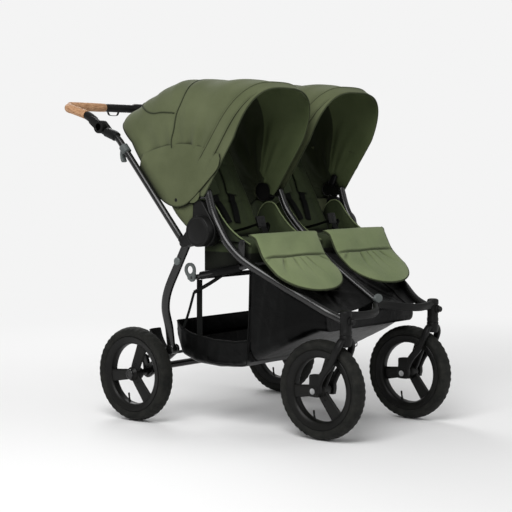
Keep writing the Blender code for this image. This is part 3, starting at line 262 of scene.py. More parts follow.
def makePiece(name, parts, look, body, replaces=(), closed=True, wall=0.0, inside=None,
              smoothAngle=40):
    points, faces, uv = joinParts(parts)
    points = points - np.array([0, centreY, 0])
    mesh = bpy.data.meshes.new(name)
    mesh.from_pydata(points.tolist(), [], faces.tolist())
    layer = mesh.uv_layers.new(name="cloth")
    corner = np.empty(len(mesh.loops), dtype=np.int32)
    mesh.loops.foreach_get("vertex_index", corner)
    layer.data.foreach_set("uv", uv[corner].astype(np.float32).ravel())
    bm = bmesh.new()
    bm.from_mesh(mesh)
    bmesh.ops.remove_doubles(bm, verts=bm.verts, dist=2e-6)
    bmesh.ops.dissolve_degenerate(bm, edges=bm.edges, dist=1e-7)
    if closed:
        bmesh.ops.recalc_face_normals(bm, faces=bm.faces)
    bm.to_mesh(mesh)
    bm.free()
    mesh.shade_smooth()
    if smoothAngle:
        mesh.set_sharp_from_angle(angle=radians(smoothAngle))
    mesh.materials.append(looks[look])
    piece = bpy.data.objects.new(name, mesh)
    bpy.context.scene.collection.objects.link(piece)
    if inside:
        mesh.materials.append(looks[inside])
    if wall:
        shell = piece.modifiers.new("wall", "SOLIDIFY")
        shell.thickness = wall
        shell.offset = -1
        shell.material_offset = 1 if inside else 0
        shell.use_rim = True
    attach(piece, body)
    if replaces:
        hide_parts(*([replaces] if isinstance(replaces, str) else replaces))
    return piece


def makeCloth(name, parts, look, wall, body="chassis", replaces=(), inside=None):
    # an open sheet that its wall thickens
    return makePiece(name, parts, look, body, replaces, False, wall, inside, 0)


cuts = {}


def declareSheet(piece, grids):
    # the flat cut is the cloth's longest run each way, with the area of its own surface
    grids = [grids] if isinstance(grids, np.ndarray) else grids
    wide = max(np.linalg.norm(np.diff(g, axis=1), axis=2).sum(axis=1).max() for g in grids)
    long = sum(np.linalg.norm(np.diff(g, axis=0), axis=2).sum(axis=0).max() for g in grids)
    area = sum(np.linalg.norm(np.cross(g[1:, 1:] - g[:-1, :-1], g[1:, :-1] - g[:-1, 1:]), axis=-1).sum() / 2
               for g in grids)
    area = float(np.clip(area, 0.301 * wide * long, wide * long))
    cuts[piece.name] = (round(float(wide), 3), round(float(long), 3), round(area, 4))


def smoothPath(points, steps=8):
    # Catmull-Rom curve through the points, all spans at once
    p = np.asarray(points, float)
    p = np.vstack([2 * p[0] - p[1], p, 2 * p[-1] - p[-2]])
    a, b, c, d = (p[k:len(p) - 3 + k][:, None, :] for k in range(4))
    t = (np.arange(steps) / steps)[None, :, None]
    curve = 0.5 * (2 * b + (c - a) * t + (2 * a - 5 * b + 4 * c - d) * t ** 2
                   + (3 * b - a - 3 * c + d) * t ** 3)
    return np.vstack([curve.reshape(-1, 3), p[-2]])


def sideCurve(places, steps=8):
    # smooth curve through (y, z) places of the middle plane
    return smoothPath([(0, y, z) for y, z in places], steps)


def bell(value, middle, width):
    # 1 at the middle, fading to nothing over about twice the width
    return np.exp(-((value - middle) / width) ** 2)


def unit(v):
    return v / np.maximum(np.linalg.norm(v, axis=-1, keepdims=True), 1e-12)


def sweep(path, halfW, halfH=None, across=(1, 0, 0), count=20, square=2.0, capped=True, endRound=0.3):
    # section |u|^n + |v|^n = 1 carried square to the path, u along the across vector, with domed ends
    path = np.asarray(path, float)
    tangent = unit(np.gradient(path, axis=0))
    across = np.broadcast_to(np.asarray(across, float), path.shape)
    u = unit(across - tangent * (across * tangent).sum(-1, keepdims=True))
    v = np.cross(tangent, u)
    wide = np.broadcast_to(np.asarray(halfW, float), len(path))
    high = wide if halfH is None else np.broadcast_to(np.asarray(halfH, float), len(path))
    if capped:  # rounded end: two rings shrinking to a point
        r = min(wide[0], high[0]) * endRound
        path = np.vstack([path[0], path[0], path[0] + tangent[0] * r, path[1:-1],
                          path[-1] - tangent[-1] * r, path[-1], path[-1]])
        pick = np.r_[0, 0, 0, 1:len(u) - 1, len(u) - 1, len(u) - 1, len(u) - 1]
        u, v = u[pick], v[pick]
        scale = np.r_[0, 1 - endRound * 0.5, 1, np.ones(len(pick) - 6), 1, 1 - endRound * 0.5, 0]
        wide, high = wide[pick] * scale, high[pick] * scale
    turn = 2 * pi * np.arange(count) / count
    cu = np.sign(np.cos(turn)) * np.abs(np.cos(turn)) ** (2 / square)
    cv = np.sign(np.sin(turn)) * np.abs(np.sin(turn)) ** (2 / square)
    wideU, highV = wide[:, None] * cu, high[:, None] * cv
    rings = path[:, None] + u[:, None] * wideU[..., None] + v[:, None] * highV[..., None]
    return gridPart(rings, loopCols=True)


def lathe(profile, centre, axis="X", sign=1, steps=64):
    # (radius, place along the axis) turned about an axis through the centre
    profile = np.asarray(profile, float)
    turn = 2 * pi * np.arange(steps) / steps
    r, a = profile[:, 0][:, None], profile[:, 1][:, None] * sign
    ring = [r * np.cos(turn), r * np.sin(turn), a + 0 * turn]
    order = {"X": (2, 0, 1), "Y": (1, 2, 0), "Z": (0, 1, 2)}[axis]
    points = np.stack([ring[k] for k in order], -1) + np.asarray(centre, float)
    return gridPart(points, loopCols=True)


def plate(outline, x0, x1, soft=0.0015, steps=3):
    # outline in (y, z) made thick along X, with a rounded edge; the ends close at the outline's middle
    outline = np.asarray(outline, float)
    middle = outline.mean(axis=0)
    away = unit(outline - middle)
    turn = np.linspace(0, pi / 2, steps + 1)
    inset = soft * (1 - np.sin(turn))
    x = np.concatenate([[x0], x0 + soft * (1 - np.cos(turn)), (x1 - soft * (1 - np.cos(turn)))[::-1], [x1]])
    inset = np.concatenate([[None], inset, inset[::-1], [None]])
    rings = [np.tile(middle, (len(outline), 1)) if k is None else outline - away * k for k in inset]
    points = np.stack([np.column_stack([np.full(len(outline), xx), ring]) for xx, ring in zip(x, rings)])
    return gridPart(points, loopCols=True)


def sidePlate(outline, s, near, far, soft):
    # a plate between two distances from the middle, on the right (-1) or the left (1)
    return plate(outline, *sorted((s * near, s * far)), soft)


def roundedHull(first, firstR, second, secondR, count=24):
    # outline round two circles and the tangents between them
    first, second = np.asarray(first, float), np.asarray(second, float)
    away = second - first
    lean, spread = np.arctan2(away[1], away[0]), np.arccos((firstR - secondR) / np.linalg.norm(away))
    a = np.linspace(lean - spread, lean + spread, count)
    b = np.linspace(lean + spread, lean + 2 * pi - spread, count)
    return np.vstack([second + secondR * np.column_stack([np.cos(a), np.sin(a)]),
                      first + firstR * np.column_stack([np.cos(b), np.sin(b)])])


def screwHead(x, y, z, sign, r=0.0045, high=0.0022):
    # domed screw head with a round socket, facing along X
    profile = [(0, -0.001), (r, -0.001), (r, high * 0.45), (r * 0.75, high), (r * 0.42, high),
               (r * 0.38, high * 0.3), (0, high * 0.3)]
    return lathe(profile, (x, y, z), "X", sign, 24)


# wheels: treaded tyre, dished rim, three flat spokes, hub cap and valve
wheel = {"radius": 0.15, "width": 0.052, "beadR": 0.1168, "openR": 0.096, "rimW": 0.04,
         "blocks": 44, "groove": 0.0022, "spokes": (112, 232, 352), "valve": -74}


def tyreParts(centre):
    # section r(a) is an oval; blocks stand proud where a wave round the tyre is high, shifted by side
    steps, cols = wheel["blocks"] * 8, 33
    phi = np.linspace(-0.78 * pi, 0.78 * pi, cols)[None, :]
    turn = (2 * pi * np.arange(steps) / steps)[:, None]
    mid, half = (wheel["radius"] + wheel["beadR"]) / 2 + 0.002, wheel["width"] / 2
    tall = np.where(np.cos(phi) > 0, wheel["radius"] - mid, (mid - wheel["beadR"] - 0.0002) / 0.771)
    wave = np.cos(turn * wheel["blocks"] + 2.6 * np.sin(phi))
    shoulder = bell(np.abs(phi), 0.95, 0.42)
    crown = bell(phi, 0, 0.5)
    centreWave = np.cos(turn * wheel["blocks"] + pi * np.sign(np.sin(phi * 7)))
    groove = wheel["groove"] * (shoulder * (0.5 - 0.5 * np.tanh(4 * wave)) + 0.7 * crown
                                * (0.5 - 0.5 * np.tanh(4 * centreWave)))
    rib = 0.0012 * bell(np.abs(phi), 0.55, 0.07)
    r = mid + (tall - groove - rib) * np.cos(phi)
    a = (half - 0.3 * groove - rib) * np.sin(phi) * (1 - 0.12 * (np.cos(phi) < 0) * np.abs(np.cos(phi)))
    r = np.maximum(r, wheel["beadR"])
    points = np.stack([centre[0] + a + 0 * turn, centre[1] + r * np.cos(turn), centre[2] + r * np.sin(turn)], -1)
    return [gridPart(points, loopRows=True, loopCols=True)]


def rimParts(centre, s, hubHalf):
    o, w, bead = wheel["openR"], wheel["rimW"] / 2, wheel["beadR"] - 0.0004
    ring = [(bead, -w + 0.003), (bead + 0.0035, -w), (bead + 0.002, -w - 0.001), (o + 0.01, -w + 0.001),
            (o + 0.002, -w + 0.006), (o, -w + 0.01), (o, w - 0.01), (o + 0.002, w - 0.006), (o + 0.01, w - 0.001),
            (bead + 0.002, w + 0.001), (bead + 0.0035, w), (bead, w - 0.003), (bead, -w + 0.003)]
    parts = [lathe(ring, centre, steps=96)]
    hub = [(0.0062, -hubHalf), (0.013, -hubHalf), (0.015, -hubHalf + 0.003), (0.0205, -hubHalf + 0.01),
           (0.0225, -0.006), (0.0225, 0.016), (0.019, 0.0195), (0.017, hubHalf - 0.002), (0.0155, hubHalf),
           (0.0062, hubHalf), (0.0062, -hubHalf)]
    parts.append(lathe(hub, centre, "X", s, 48))
    for turn in wheel["spokes"]:
        a = radians(turn)
        out, side = np.array([0, np.cos(a), np.sin(a)]), np.array([0, -np.sin(a), np.cos(a)])
        t = np.array([0.012, 0.02, 0.032, 0.05, 0.07, 0.088, 0.096, 0.103])
        half = np.array([0.014, 0.0165, 0.0175, 0.018, 0.019, 0.02, 0.0215, 0.024])
        drop = np.interp(t, [0.012, 0.05, 0.1], [0.0085, 0.0075, 0.0055])
        path = np.asarray(centre) + out * t[:, None] + np.array([s, 0, 0]) * drop[:, None]
        parts.append(sweep(path, half, 0.0058, side, 24, 4.5))
        spot = np.asarray(centre) + out * 0.033 + np.array([s * 0.0138, 0, 0])
        parts.append(screwHead(*spot, s, 0.0042, 0.0018))
    a = radians(wheel["valve"])
    foot = np.asarray(centre) + np.array([0, np.cos(a), np.sin(a)]) * (o + 0.003)
    stem = foot + np.array([(0, 0, 0), (0, 0.001, 0.008), (0, 0.002, 0.016), (0, 0.0028, 0.022),
                            (0, 0.0038, 0.03)])
    parts.append(sweep(stem, [0.0046, 0.0036, 0.0026, 0.0032, 0.003], count=16))
    return parts


for side, s in sides.items():
    for place, x, axle in (("rear", s * trackRear, axleRear), ("front", s * trackFront, axleFront)):
        centre = (x, *axle)
        body = f"{place}_wheel_{side}"
        hubHalf = 0.025 if place == "rear" else 0.0275
        makePiece(f"treadedTyre_{place}_{side}", tyreParts(centre), "rubber", body, f"tyre_{place}_{side}",
                  smoothAngle=50)
        makePiece(f"spokedRim_{place}_{side}", rimParts(centre, s, hubHalf), "rim", body, f"rim_{place}_{side}")
print("wheels ready")

# front casters: fork, swivel head, pull knob
fork = {"crown": 0.3175, "headR": 0.0185, "bladeX": 0.0365, "bladeW": 0.008, "bladeH": 0.0105}


def mirrored(points, s):
    return np.asarray(points, float) * np.array([s, 1, 1])


for side, s in sides.items():
    x, top, bx = s * trackFront, fork["crown"], fork["bladeX"]
    crown = [(0, top - 0.032), (0.015, top - 0.032), (0.018, top - 0.028), (fork["headR"], top - 0.012),
             (fork["headR"], top - 0.001), (0.0178, top), (0, top)]
    parts = [lathe(crown, (x, casterPivot[0], 0), "Z")]
    for t in (-1, 1):
        legs = [(x + t * 0.006, -0.41, top - 0.013), (x + t * 0.024, -0.409, top - 0.017),
                (x + t * bx, -0.404, top - 0.04), (x + t * bx, -0.385, top - 0.08),
                (x + t * bx, -0.352, 0.198), (x + t * bx, -0.334, 0.162)]
        parts.append(sweep(smoothPath(legs, 8), fork["bladeW"], fork["bladeH"], (1, 0, 0), 24, 3.0))
        block = [(-0.343, 0.136), (-0.34, 0.133), (-0.31, 0.133), (-0.306, 0.137), (-0.3055, 0.15),
                 (-0.3085, 0.178), (-0.3085, 0.194), (-0.313, 0.199), (-0.34, 0.201), (-0.345, 0.196),
                 (-0.345, 0.17), (-0.346, 0.15)]
        parts.append(plate(sideCurve(block + block[:1], 3)[:-1, 1:],
                           *sorted((x + t * 0.0286, x + t * 0.0445)), 0.0025))
        step = [(-0.339, 0.139), (-0.313, 0.139), (-0.313, 0.165), (-0.339, 0.165)]
        parts.append(plate(step, *sorted((x + t * 0.044, x + t * 0.0465)), 0.0012))
    makePiece("curvedFork_" + side, parts, "plastic", "caster_" + side, "fork_" + side)
    headLow, headTop = top + 0.0003, top + 0.0743
    head = [(0, headLow), (0.0165, headLow), (0.0183, headLow + 0.003), (0.0183, headLow + 0.012),
            (0.0172, headLow + 0.014), (0.0172, headLow + 0.056), (0.0183, headLow + 0.058),
            (0.0183, headTop - 0.006),
            (0.0165, headTop - 0.002), (0.012, headTop), (0, headTop)]
    collar = [(0, 0), (0.0125, 0), (0.0125, -0.004), (0.011, -0.0055), (0, -0.0055)]
    parts = [lathe(head, (x, casterPivot[0], 0), "Z"),
             lathe([(r, -a) for r, a in collar], (x, -0.4265, 0.36), "Y", -1, 32)]
    makePiece("swivelHead_" + side, parts, "plastic", "chassis", "caster_head_" + side)
    knob = [(0, -0.006), (0.0033, -0.006), (0.0033, 0.0012), (0.0085, 0.0012), (0.0095, 0.0025), (0.0092, 0.01),
            (0.0075, 0.0125), (0.004, 0.013), (0, 0.0122)]
    makePiece("pullKnob_" + side, [lathe(knob, (x, -0.4285, 0.36), "Y", -1, 32)], "plastic",
              "swivel_lock_" + side, "swivel_lock_" + side)
print("casters ready")

# frame tubes
tubes = {"front": 0.0125, "spine": 0.011, "handle": 0.0105, "seat": 0.008}
frontRoute = ((0.339, 0.036, 0.738), (0.339, 0.014, 0.672), (0.339, -0.014, 0.622), (0.338, -0.05, 0.574),
              (0.332, -0.107, 0.527), (0.302, -0.199, 0.471), (0.272, -0.27, 0.428), (0.2405, -0.34, 0.385),
              (0.2315, -0.41, 0.358))
spineRoute = ((0, 0.03, 0.736), (0, 0.004, 0.681), (0, -0.023, 0.645), (0, -0.068, 0.601), (0, -0.137, 0.54),
              (0, -0.235, 0.472), (0, -0.312, 0.423), (0, -0.352, 0.398))
frontPath, spinePath = smoothPath(frontRoute), smoothPath(spineRoute)


def alongPath(path, y, column):
    return np.interp(-np.asarray(y), -path[:, 1], path[:, column])


spineParts = [sweep(spinePath, tubes["spine"], count=32)]
spineParts.append(plate(roundedHull((0.031, 0.722), 0.01, canopyPivot, 0.0165), -0.0105, 0.0105, 0.002))
spineParts.append(plate(roundedHull((-0.1, 0.58), 0.011, (-0.1, 0.563), 0.012), -0.0112, 0.0112, 0.002))
makePiece("spineTubeSmooth", spineParts, "tube", "chassis", "spine_tube")

half = [(trackFront - 0.01, -0.4125, 0.377), (0.185, -0.421, 0.374), (0.13, -0.424, 0.373),
        (0.08, -0.409, 0.377), (0.035, -0.376, 0.384)]
barRoute = [(-x, y, z) for x, y, z in half] + [(0, -0.357, 0.386)] + half[::-1]
badge = [(0, -0.004), (0.02, -0.004), (0.02, 0.001), (0.0185, 0.003), (0, 0.0045)]
badge = lathe(badge, (0, 0, 0), "Y", -1, 48)
badge = (badge[0] * np.array([1, 1, 0.7]) + np.array([0, -0.362, 0.4065]), badge[1], badge[2])
makePiece("frontCrossbarSmooth", [sweep(smoothPath(barRoute), 0.0095, 0.012, (0, 1, 0), 28, 2.4)], "plastic",
          "chassis", "front_crossbar")
makePiece("frontBadgeBare", [badge], "grey", "chassis")

for side, s in sides.items():
    path = mirrored(frontPath, s)
    parts = [sweep(path, tubes["front"], count=32)]
    parts.append(sidePlate(roundedHull((0.036, 0.724), 0.0115, canopyPivot, 0.0205), s, 0.3275, 0.3505, 0.002))
    parts.append(sidePlate(roundedHull((-0.1, 0.58), 0.012, (-0.094, 0.546), 0.016), s, 0.3313, 0.3365, 0.001))
    parts += [screwHead(s * 0.3365, y, z, s, 0.004) for y, z in ((-0.1, 0.58), (-0.088, 0.556))]
    makePiece("frontTubeSmooth_" + side, parts, "tube", "chassis", "front_tube_" + side)

    parts = [sidePlate(roundedHull(hinge, 0.047, (0.062, 0.684), 0.023, 32), s, 0.3205, 0.352, 0.004)]
    rim = roundedHull(hinge, 0.0445, (0.062, 0.684), 0.0205, 32)
    ring = np.column_stack([np.full(len(rim), s * 0.3519), rim])
    parts.append(sweep(np.vstack([ring, ring[:1]]), 0.0011, 0.0008, (1, 0, 0), 8))
    makePiece("hingeHousingSoft_" + side, parts, "plastic", "chassis", "hinge_housing_" + side)

seatRoute = []
for s in (-1, 1):
    half = [(s * 0.326, -0.112, 0.518), (s * 0.322, -0.094, 0.5077), (s * 0.322, 0.0, 0.489),
            (s * 0.322, 0.085, 0.472), (s * 0.312, 0.112, 0.467), (s * 0.277, 0.122, 0.465)]
    seatRoute += half if s < 0 else half[::-1]
restPin = lathe([(0, -0.3362), (0.004, -0.3362), (0.004, -0.322), (0, -0.322)], (0, 0.106, 0.4665), steps=24)
makePiece("seatFrameSmooth", [sweep(smoothPath(seatRoute), tubes["seat"], across=(0, 0, 1), count=24),
                              restPin], "tube", "chassis", "seat_frame")

sleeveLine = [(0.08, 0.4733), (0.0, 0.4892), (-0.085, 0.5058)]
sleeves = [sweep(np.array([(s * 0.3222, y, z) for y, z in sleeveLine]), 0.008, 0.0125, (1, 0, 0), 20, 2.6)
           for s in (-1, 1)]
makePiece("seatFrameSleeves", sleeves, "nylon", "chassis")

# rear legs, axle, brake
for side, s in sides.items():
    route = [(s * 0.346, 0.1105, 0.58), (s * 0.346, 0.153, 0.504), (s * 0.346, 0.196, 0.424),
             (s * 0.344, 0.2095, 0.366), (s * 0.336, 0.202, 0.303), (s * 0.3253, 0.203, 0.235)]
    lowEnd = [(0, -0.0112), (0.015, -0.0112), (0.0165, -0.0095), (0.0165, 0.0095), (0.015, 0.0112),
              (0.01, 0.0125), (0, 0.0125)]
    parts = [sidePlate(roundedHull(hinge, 0.04, (0.1135, 0.5745), 0.015), s, 0.3525, 0.3573, 0.001),
             sweep(smoothPath(route, 8), 0.0095, 0.0145, (1, 0, 0), 28, 2.6),
             lathe(lowEnd, (s * 0.3253, 0.203, 0.235), "X", s, 40)]
    makePiece("rearLegSmooth_" + side, parts, "tube", "rear_frame", "rear_leg_" + side)
    cap = [(0, 0.3545), (0.012, 0.3545), (0.0125, 0.356), (0.0122, 0.36), (0.0095, 0.3625), (0, 0.3628)]
    makePiece("catchCap_" + side, [lathe(cap, (0, 0.146, 0.5165), "X", s, 40)], "grey", "rear_frame",
              "catch_stud_" + side)

axleParts = [lathe([(0, -0.3125), (0.011, -0.3125), (0.011, 0.3125), (0, 0.3125)], (0, 0.298, 0.166), steps=32),
             lathe([(0, -0.3125), (0.005, -0.3125), (0.005, 0.3125), (0, 0.3125)], (0, 0.337, 0.196), steps=24)]
for side, s in sides.items():
    axleParts.append(sidePlate(roundedHull((0.203, 0.235), 0.015, axleRear, 0.019), s, 0.3018, 0.3138, 0.003))
    axleParts.append(sidePlate(roundedHull(axleRear, 0.016, (0.337, 0.196), 0.01), s, 0.3022, 0.3134, 0.003))
    stub = [(0, 0.3098), (0.011, 0.3098), (0.011, 0.3379), (0.006, 0.3379), (0.006, 0.3901), (0.0155, 0.3901),
            (0.0155, 0.393), (0.014, 0.3948), (0.01, 0.395), (0.0095, 0.3938), (0, 0.3938)]
    axleParts.append(lathe(stub, (0, *axleRear), "X", s, 40))
makePiece("rearAxleSmooth", axleParts, "tube", "rear_axle", "rear_axle")

pedal = {"x": -0.205, "halfW": 0.026, "halfT": 0.006}
arm = np.array([(0.008, 0.004), (0.028, 0.022), (0.046, 0.05), (0.056, 0.08)]) + np.array([0.337, 0.196])
arm = smoothPath(np.column_stack([np.full(4, pedal["x"]), arm]), 6)
ribs = [sweep(arm[k:k + 2] + np.array([0, 0.0048, -0.0036]), 0.02, 0.0022, (1, 0, 0), 12) for k in (7, 10, 13)]
makePiece("brakePedalSoft", [sweep(arm, pedal["halfW"], pedal["halfT"], (1, 0, 0), 28, 3.0),
                             lathe([(0.0053, -0.016), (0.0105, -0.016), (0.0105, 0.016), (0.0053, 0.016),
                                    (0.0053, -0.016)], (pedal["x"], 0.337, 0.196), steps=32)] + ribs, "plastic",
          "brake", "brake_pedal")
print("frame ready")

# handle: turning covers, tubes, levers, knuckles, bar with cork grips
handle = {"x": 0.3695, "foot": np.array([0, 0.112, 0.583]), "top": np.array([0, 0.383, 0.89]),
          "knuckle": np.array([0, 0.47, 0.937]), "barY": 0.65, "barZ": 1.009, "bend": 0.045, "gripEnd": 0.1825}
run = (handle["top"] - handle["foot"]) / np.linalg.norm(handle["top"] - handle["foot"])
bendRoute = [handle["top"], (0, 0.402, 0.9055), (0, 0.422, 0.9135),
             handle["knuckle"] + np.array([0, -0.0235, -0.016])]
barCentre = (0, handle["barY"], handle["barZ"])

barHalf = {}
for side, s in sides.items():
    x = np.array([s * handle["x"], 0, 0])
    cover = [(0.0053, 0.3576), (0.047, 0.3576), (0.047, 0.3775), (0.0455, 0.38), (0.043, 0.3812), (0.04, 0.3806),
             (0.0385, 0.3795), (0.0365, 0.3806), (0.03, 0.3822), (0.015, 0.3838), (0, 0.3842)]
    stub = handle["foot"] + x + run * np.array([[-0.014], [-0.004], [0.0117]])
    lug = roundedHull(hinge, 0.035, (handle["foot"] - run * 0.01)[1:], 0.012)
    parts = [lathe(cover, (0, *hinge), "X", s, 72), sidePlate(lug, s, 0.358, 0.3797, 0.003),
             sweep(stub, 0.0112, count=28)]
    makePiece("hingeCoverTurned_" + side, parts, "plastic", "handle_frame", "hinge_cover_" + side)

    path = np.vstack([handle["foot"] + run * 0.012, handle["foot"] + run * 0.2, smoothPath(bendRoute, 6)]) + x
    makePiece("handleTubeSmooth_" + side, [sweep(path, tubes["handle"], count=28)], "tube", "handle_frame",
              "upper_tube_" + side)
    sleevePath = smoothPath(bendRoute, 6)[4:] + x
    flare = np.interp(np.linspace(0, 1, len(sleevePath)), [0, 0.08, 0.5, 1], [0.013, 0.0152, 0.0158, 0.015])
    parts = [sweep(sleevePath, flare, count=28, square=2.4),
             sidePlate(roundedHull(handle["knuckle"][1:], 0.021, (0.44, 0.9165), 0.015), s,
                       handle["x"] - 0.0155, handle["x"] - 0.0031, 0.003)]
    makePiece("knuckleSoft_" + side, parts, "plastic", "handle_frame", "knuckle_" + side)

    at = np.array([0, 0.36, 0.864]) + x
    normal = np.array([0, run[2], -run[1]])
    collar = np.array([at - run * 0.015, at - run * 0.013, at + run * 0.012, at + run * 0.0145])
    finger = smoothPath([at + run * 0.004 + normal * 0.008, at - run * 0.004 + normal * 0.018,
                         at - run * 0.016 + normal * 0.026, at - run * 0.027 + normal * 0.029], 6)
    parts = [sweep(collar, [0.014, 0.015, 0.015, 0.014], count=28),
             sweep(finger, 0.011, 0.0045, count=24, square=3)]
    makePiece("fingerLever_" + side, parts, "grey", "lever_" + side, "fold_lever_" + side)

    rise = [(0.4895, 0.95), (0.5115, 0.964), (0.537, 0.9765), (0.575, 0.988), (0.605, 0.9965)]
    rise = [(s * handle["x"], y, z) for y, z in rise]
    turn = np.arange(1, 5) / 5 * pi / 2
    corner = np.column_stack([s * (handle["x"] - handle["bend"] * (1 - np.cos(turn))),
                              rise[-1][1] + handle["bend"] * np.sin(turn), 0.9965 + 0.0125 * np.arange(1, 5) / 5])
    straight = [(s * (handle["x"] - handle["bend"]), *barCentre[1:]), (s * handle["gripEnd"], *barCentre[1:])]
    barHalf[side] = smoothPath(np.vstack([rise, corner, straight]), 6)

shankEnd = 12  # the path's point where the shank ends and the cork grip begins
barPath = np.vstack([barHalf["right"], barHalf["left"][::-1]])
barParts = [sweep(barPath, 0.0112, across=(0, 0, 1), count=24)]
for side, s in sides.items():
    hub = [(0, handle["x"] - 0.0115), (0.006, handle["x"] - 0.0115), (0.006, handle["x"] - 0.0024),
           (0.021, handle["x"] - 0.0024), (0.021, handle["x"] + 0.0125), (0.0195, handle["x"] + 0.0145),
           (0.0125, handle["x"] + 0.015), (0.0115, handle["x"] + 0.0138), (0, handle["x"] + 0.0138)]
    shank = roundedHull((0.47, 0.937), 0.016, (0.503, 0.9585), 0.0135)
    barParts += [lathe(hub, (0, 0.47, 0.937), "X", s, 48),
                 sidePlate(shank, s, handle["x"] - 0.002, handle["x"] + 0.0138, 0.003),
                 sweep(barHalf[side][2:shankEnd + 1], 0.0143, across=(0, 0, 1), count=28)]
    grip = barHalf[side][shankEnd:].copy()
    grip[0] = grip[0] + (grip[1] - grip[0]) * 0.4
    fat = np.full(len(grip), 0.0145)
    fat[0], fat[-1] = 0.0138, 0.014
    makePiece("corkGripWrapped_" + side, [sweep(grip, fat, across=(0, 0, 1), count=32, endRound=0.1)], "cork",
              "handlebar", "grip_" + side)
makePiece("handleBarSmooth", barParts, "plastic", "handlebar", "handlebar_tube")

end = handle["gripEnd"] - 0.0003
consoleX = np.array([-end, -end, -0.075, -0.073, -0.052, -0.045, 0.045, 0.052, 0.073, 0.075, end, end])
consoleR = np.array([0.0115, 0.0132, 0.0132, 0.014, 0.014, 0.0168, 0.0168, 0.014, 0.014, 0.0132, 0.0132,
                     0.0115])
console = [lathe(np.column_stack([consoleR, consoleX]), barCentre, steps=48)]


def barRing(x, low, high, foot, crest, steps):
    # raised ring round the bar: wider at its foot than at its crest
    profile = [(low, x - foot), (high, x - crest), (high, x + crest), (low, x + foot), (low, x - foot)]
    return lathe(profile, barCentre, steps=steps)


console += [barRing((k - 4) * 0.009, 0.016, 0.0178, 0.003, 0.002, 40) for k in range(9)]
for sign in (-1, 1):  # slotted plastic either side of the middle
    console += [barRing(sign * (0.084 + k * 0.009), 0.0125, 0.0139, 0.0026, 0.0018, 32) for k in range(10)]
loop = [(-0.168, 0), (-0.163, -0.01), (-0.155, -0.0135), (-0.13, -0.0135), (-0.122, -0.01), (-0.117, 0)]
loop = np.array([(x, handle["barY"], 0.9972 + z) for x, z in loop])
console.append(sweep(smoothPath(loop, 6), 0.0045, 0.0013, (0, 1, 0), 16, 3.0))
makePiece("consoleRibbed", console, "plastic", "handlebar", "centre_console")
print("handle ready")

# canopies: one curved sheet each, hemmed front hoop, piped seams, snaps
canopy = {"outX": 0.3575, "inX": 0.0118, "sheet": 0.0025, "hoopR": 0.3915, "pipe": 0.0019, "frontTurn": 124,
          "hoops": ((33, 0.446), (45, 0.41), (56, 0.39), (69, 0.378), (79, 0.36), (92, 0.347), (110, 0.362),
                    (127, 0.3825)),
          "seamUp": (0.1, 0.2, 0.337, 0.5, 0.687, 0.83, 1.0),
          "seamTurn": (-60, -18, 44, 63.4, 73.3, 79, 80.5),
          "flapUp": (0.68, 0.78, 0.9, 1.0), "flapTurn": (72.5, 53.4, 47, 45)}
canopyMid = (canopy["outX"] + canopy["inX"]) / 2


def canopyRadius(turn):
    # smooth step from hoop to hoop
    angle, radius = np.array(canopy["hoops"]).T
    turn = np.clip(turn, angle[0], angle[-1])
    k = np.clip(np.searchsorted(angle, turn) - 1, 0, len(angle) - 2)
    t = np.clip((turn - angle[k]) / (angle[k + 1] - angle[k]), 0, 1)
    return radius[k] + (radius[k + 1] - radius[k]) * t * t * (3 - 2 * t)


def hoopShape(u):
    # straight side up to the shoulder, then a squared arch
    full, split = pi / 2 * 1.55, pi * 0.275
    a = (1 - np.abs(u)) * full
    b = np.clip((a - split) / (full - split), 0, 1) * pi / 2
    share = np.where(a < split, 1.0, np.cos(b).clip(0) ** (2 / 3))
    up = np.where(a < split, 0.075 + 0.475 * a / split, 0.55 + 0.45 * np.sin(b) ** (2 / 2.6))
    return np.sign(u) * share, up


def canopyPoint(s, turn, across, up, half, radius):
    # each place is the pivot plus up x radius at that turn
    mid = s * canopyMid
    a = np.radians(turn)
    return np.stack([mid + across * half + 0 * a, canopyPivot[0] + up * radius * np.cos(a),
                     canopyPivot[1] + up * radius * np.sin(a)], -1)


def edges(up):
    # the turn of the cloth's front and rear edge for each height on the hoop
    r = up * 0.39
    frontGap = 0.046 - 0.03 * np.clip((up - 0.6) / 0.4, 0, None)
    rearGap = 0.027 + 0.046 * np.clip((0.27 - r) / 0.13, 0, 1)
    front = canopy["frontTurn"] + np.degrees(np.arcsin(np.minimum(0.95, frontGap / r)))
    rear = 36 - np.degrees(np.arcsin(np.minimum(0.97, rearGap / r)))
    return front, rear


def seamTurnAt(key, up):
    # the seam's turn for each height on the hoop, smoothed between the measured places
    places = smoothPath([(a, b, 0) for a, b in zip(canopy[key + "Up"], canopy[key + "Turn"])], 8)
    return np.interp(up, places[:, 0], places[:, 1])


def sampleGrid(grid, row, col):
    # points read from a grid between its corners, by shares of the four round each
    r, c = np.minimum(row.astype(int), grid.shape[0] - 2), np.minimum(col.astype(int), grid.shape[1] - 2)
    a, b = (row - r)[:, None], (col - c)[:, None]
    near = grid[r, c] * (1 - a) + grid[r + 1, c] * a
    far = grid[r, c + 1] * (1 - a) + grid[r + 1, c + 1] * a
    return near * (1 - b) + far * b


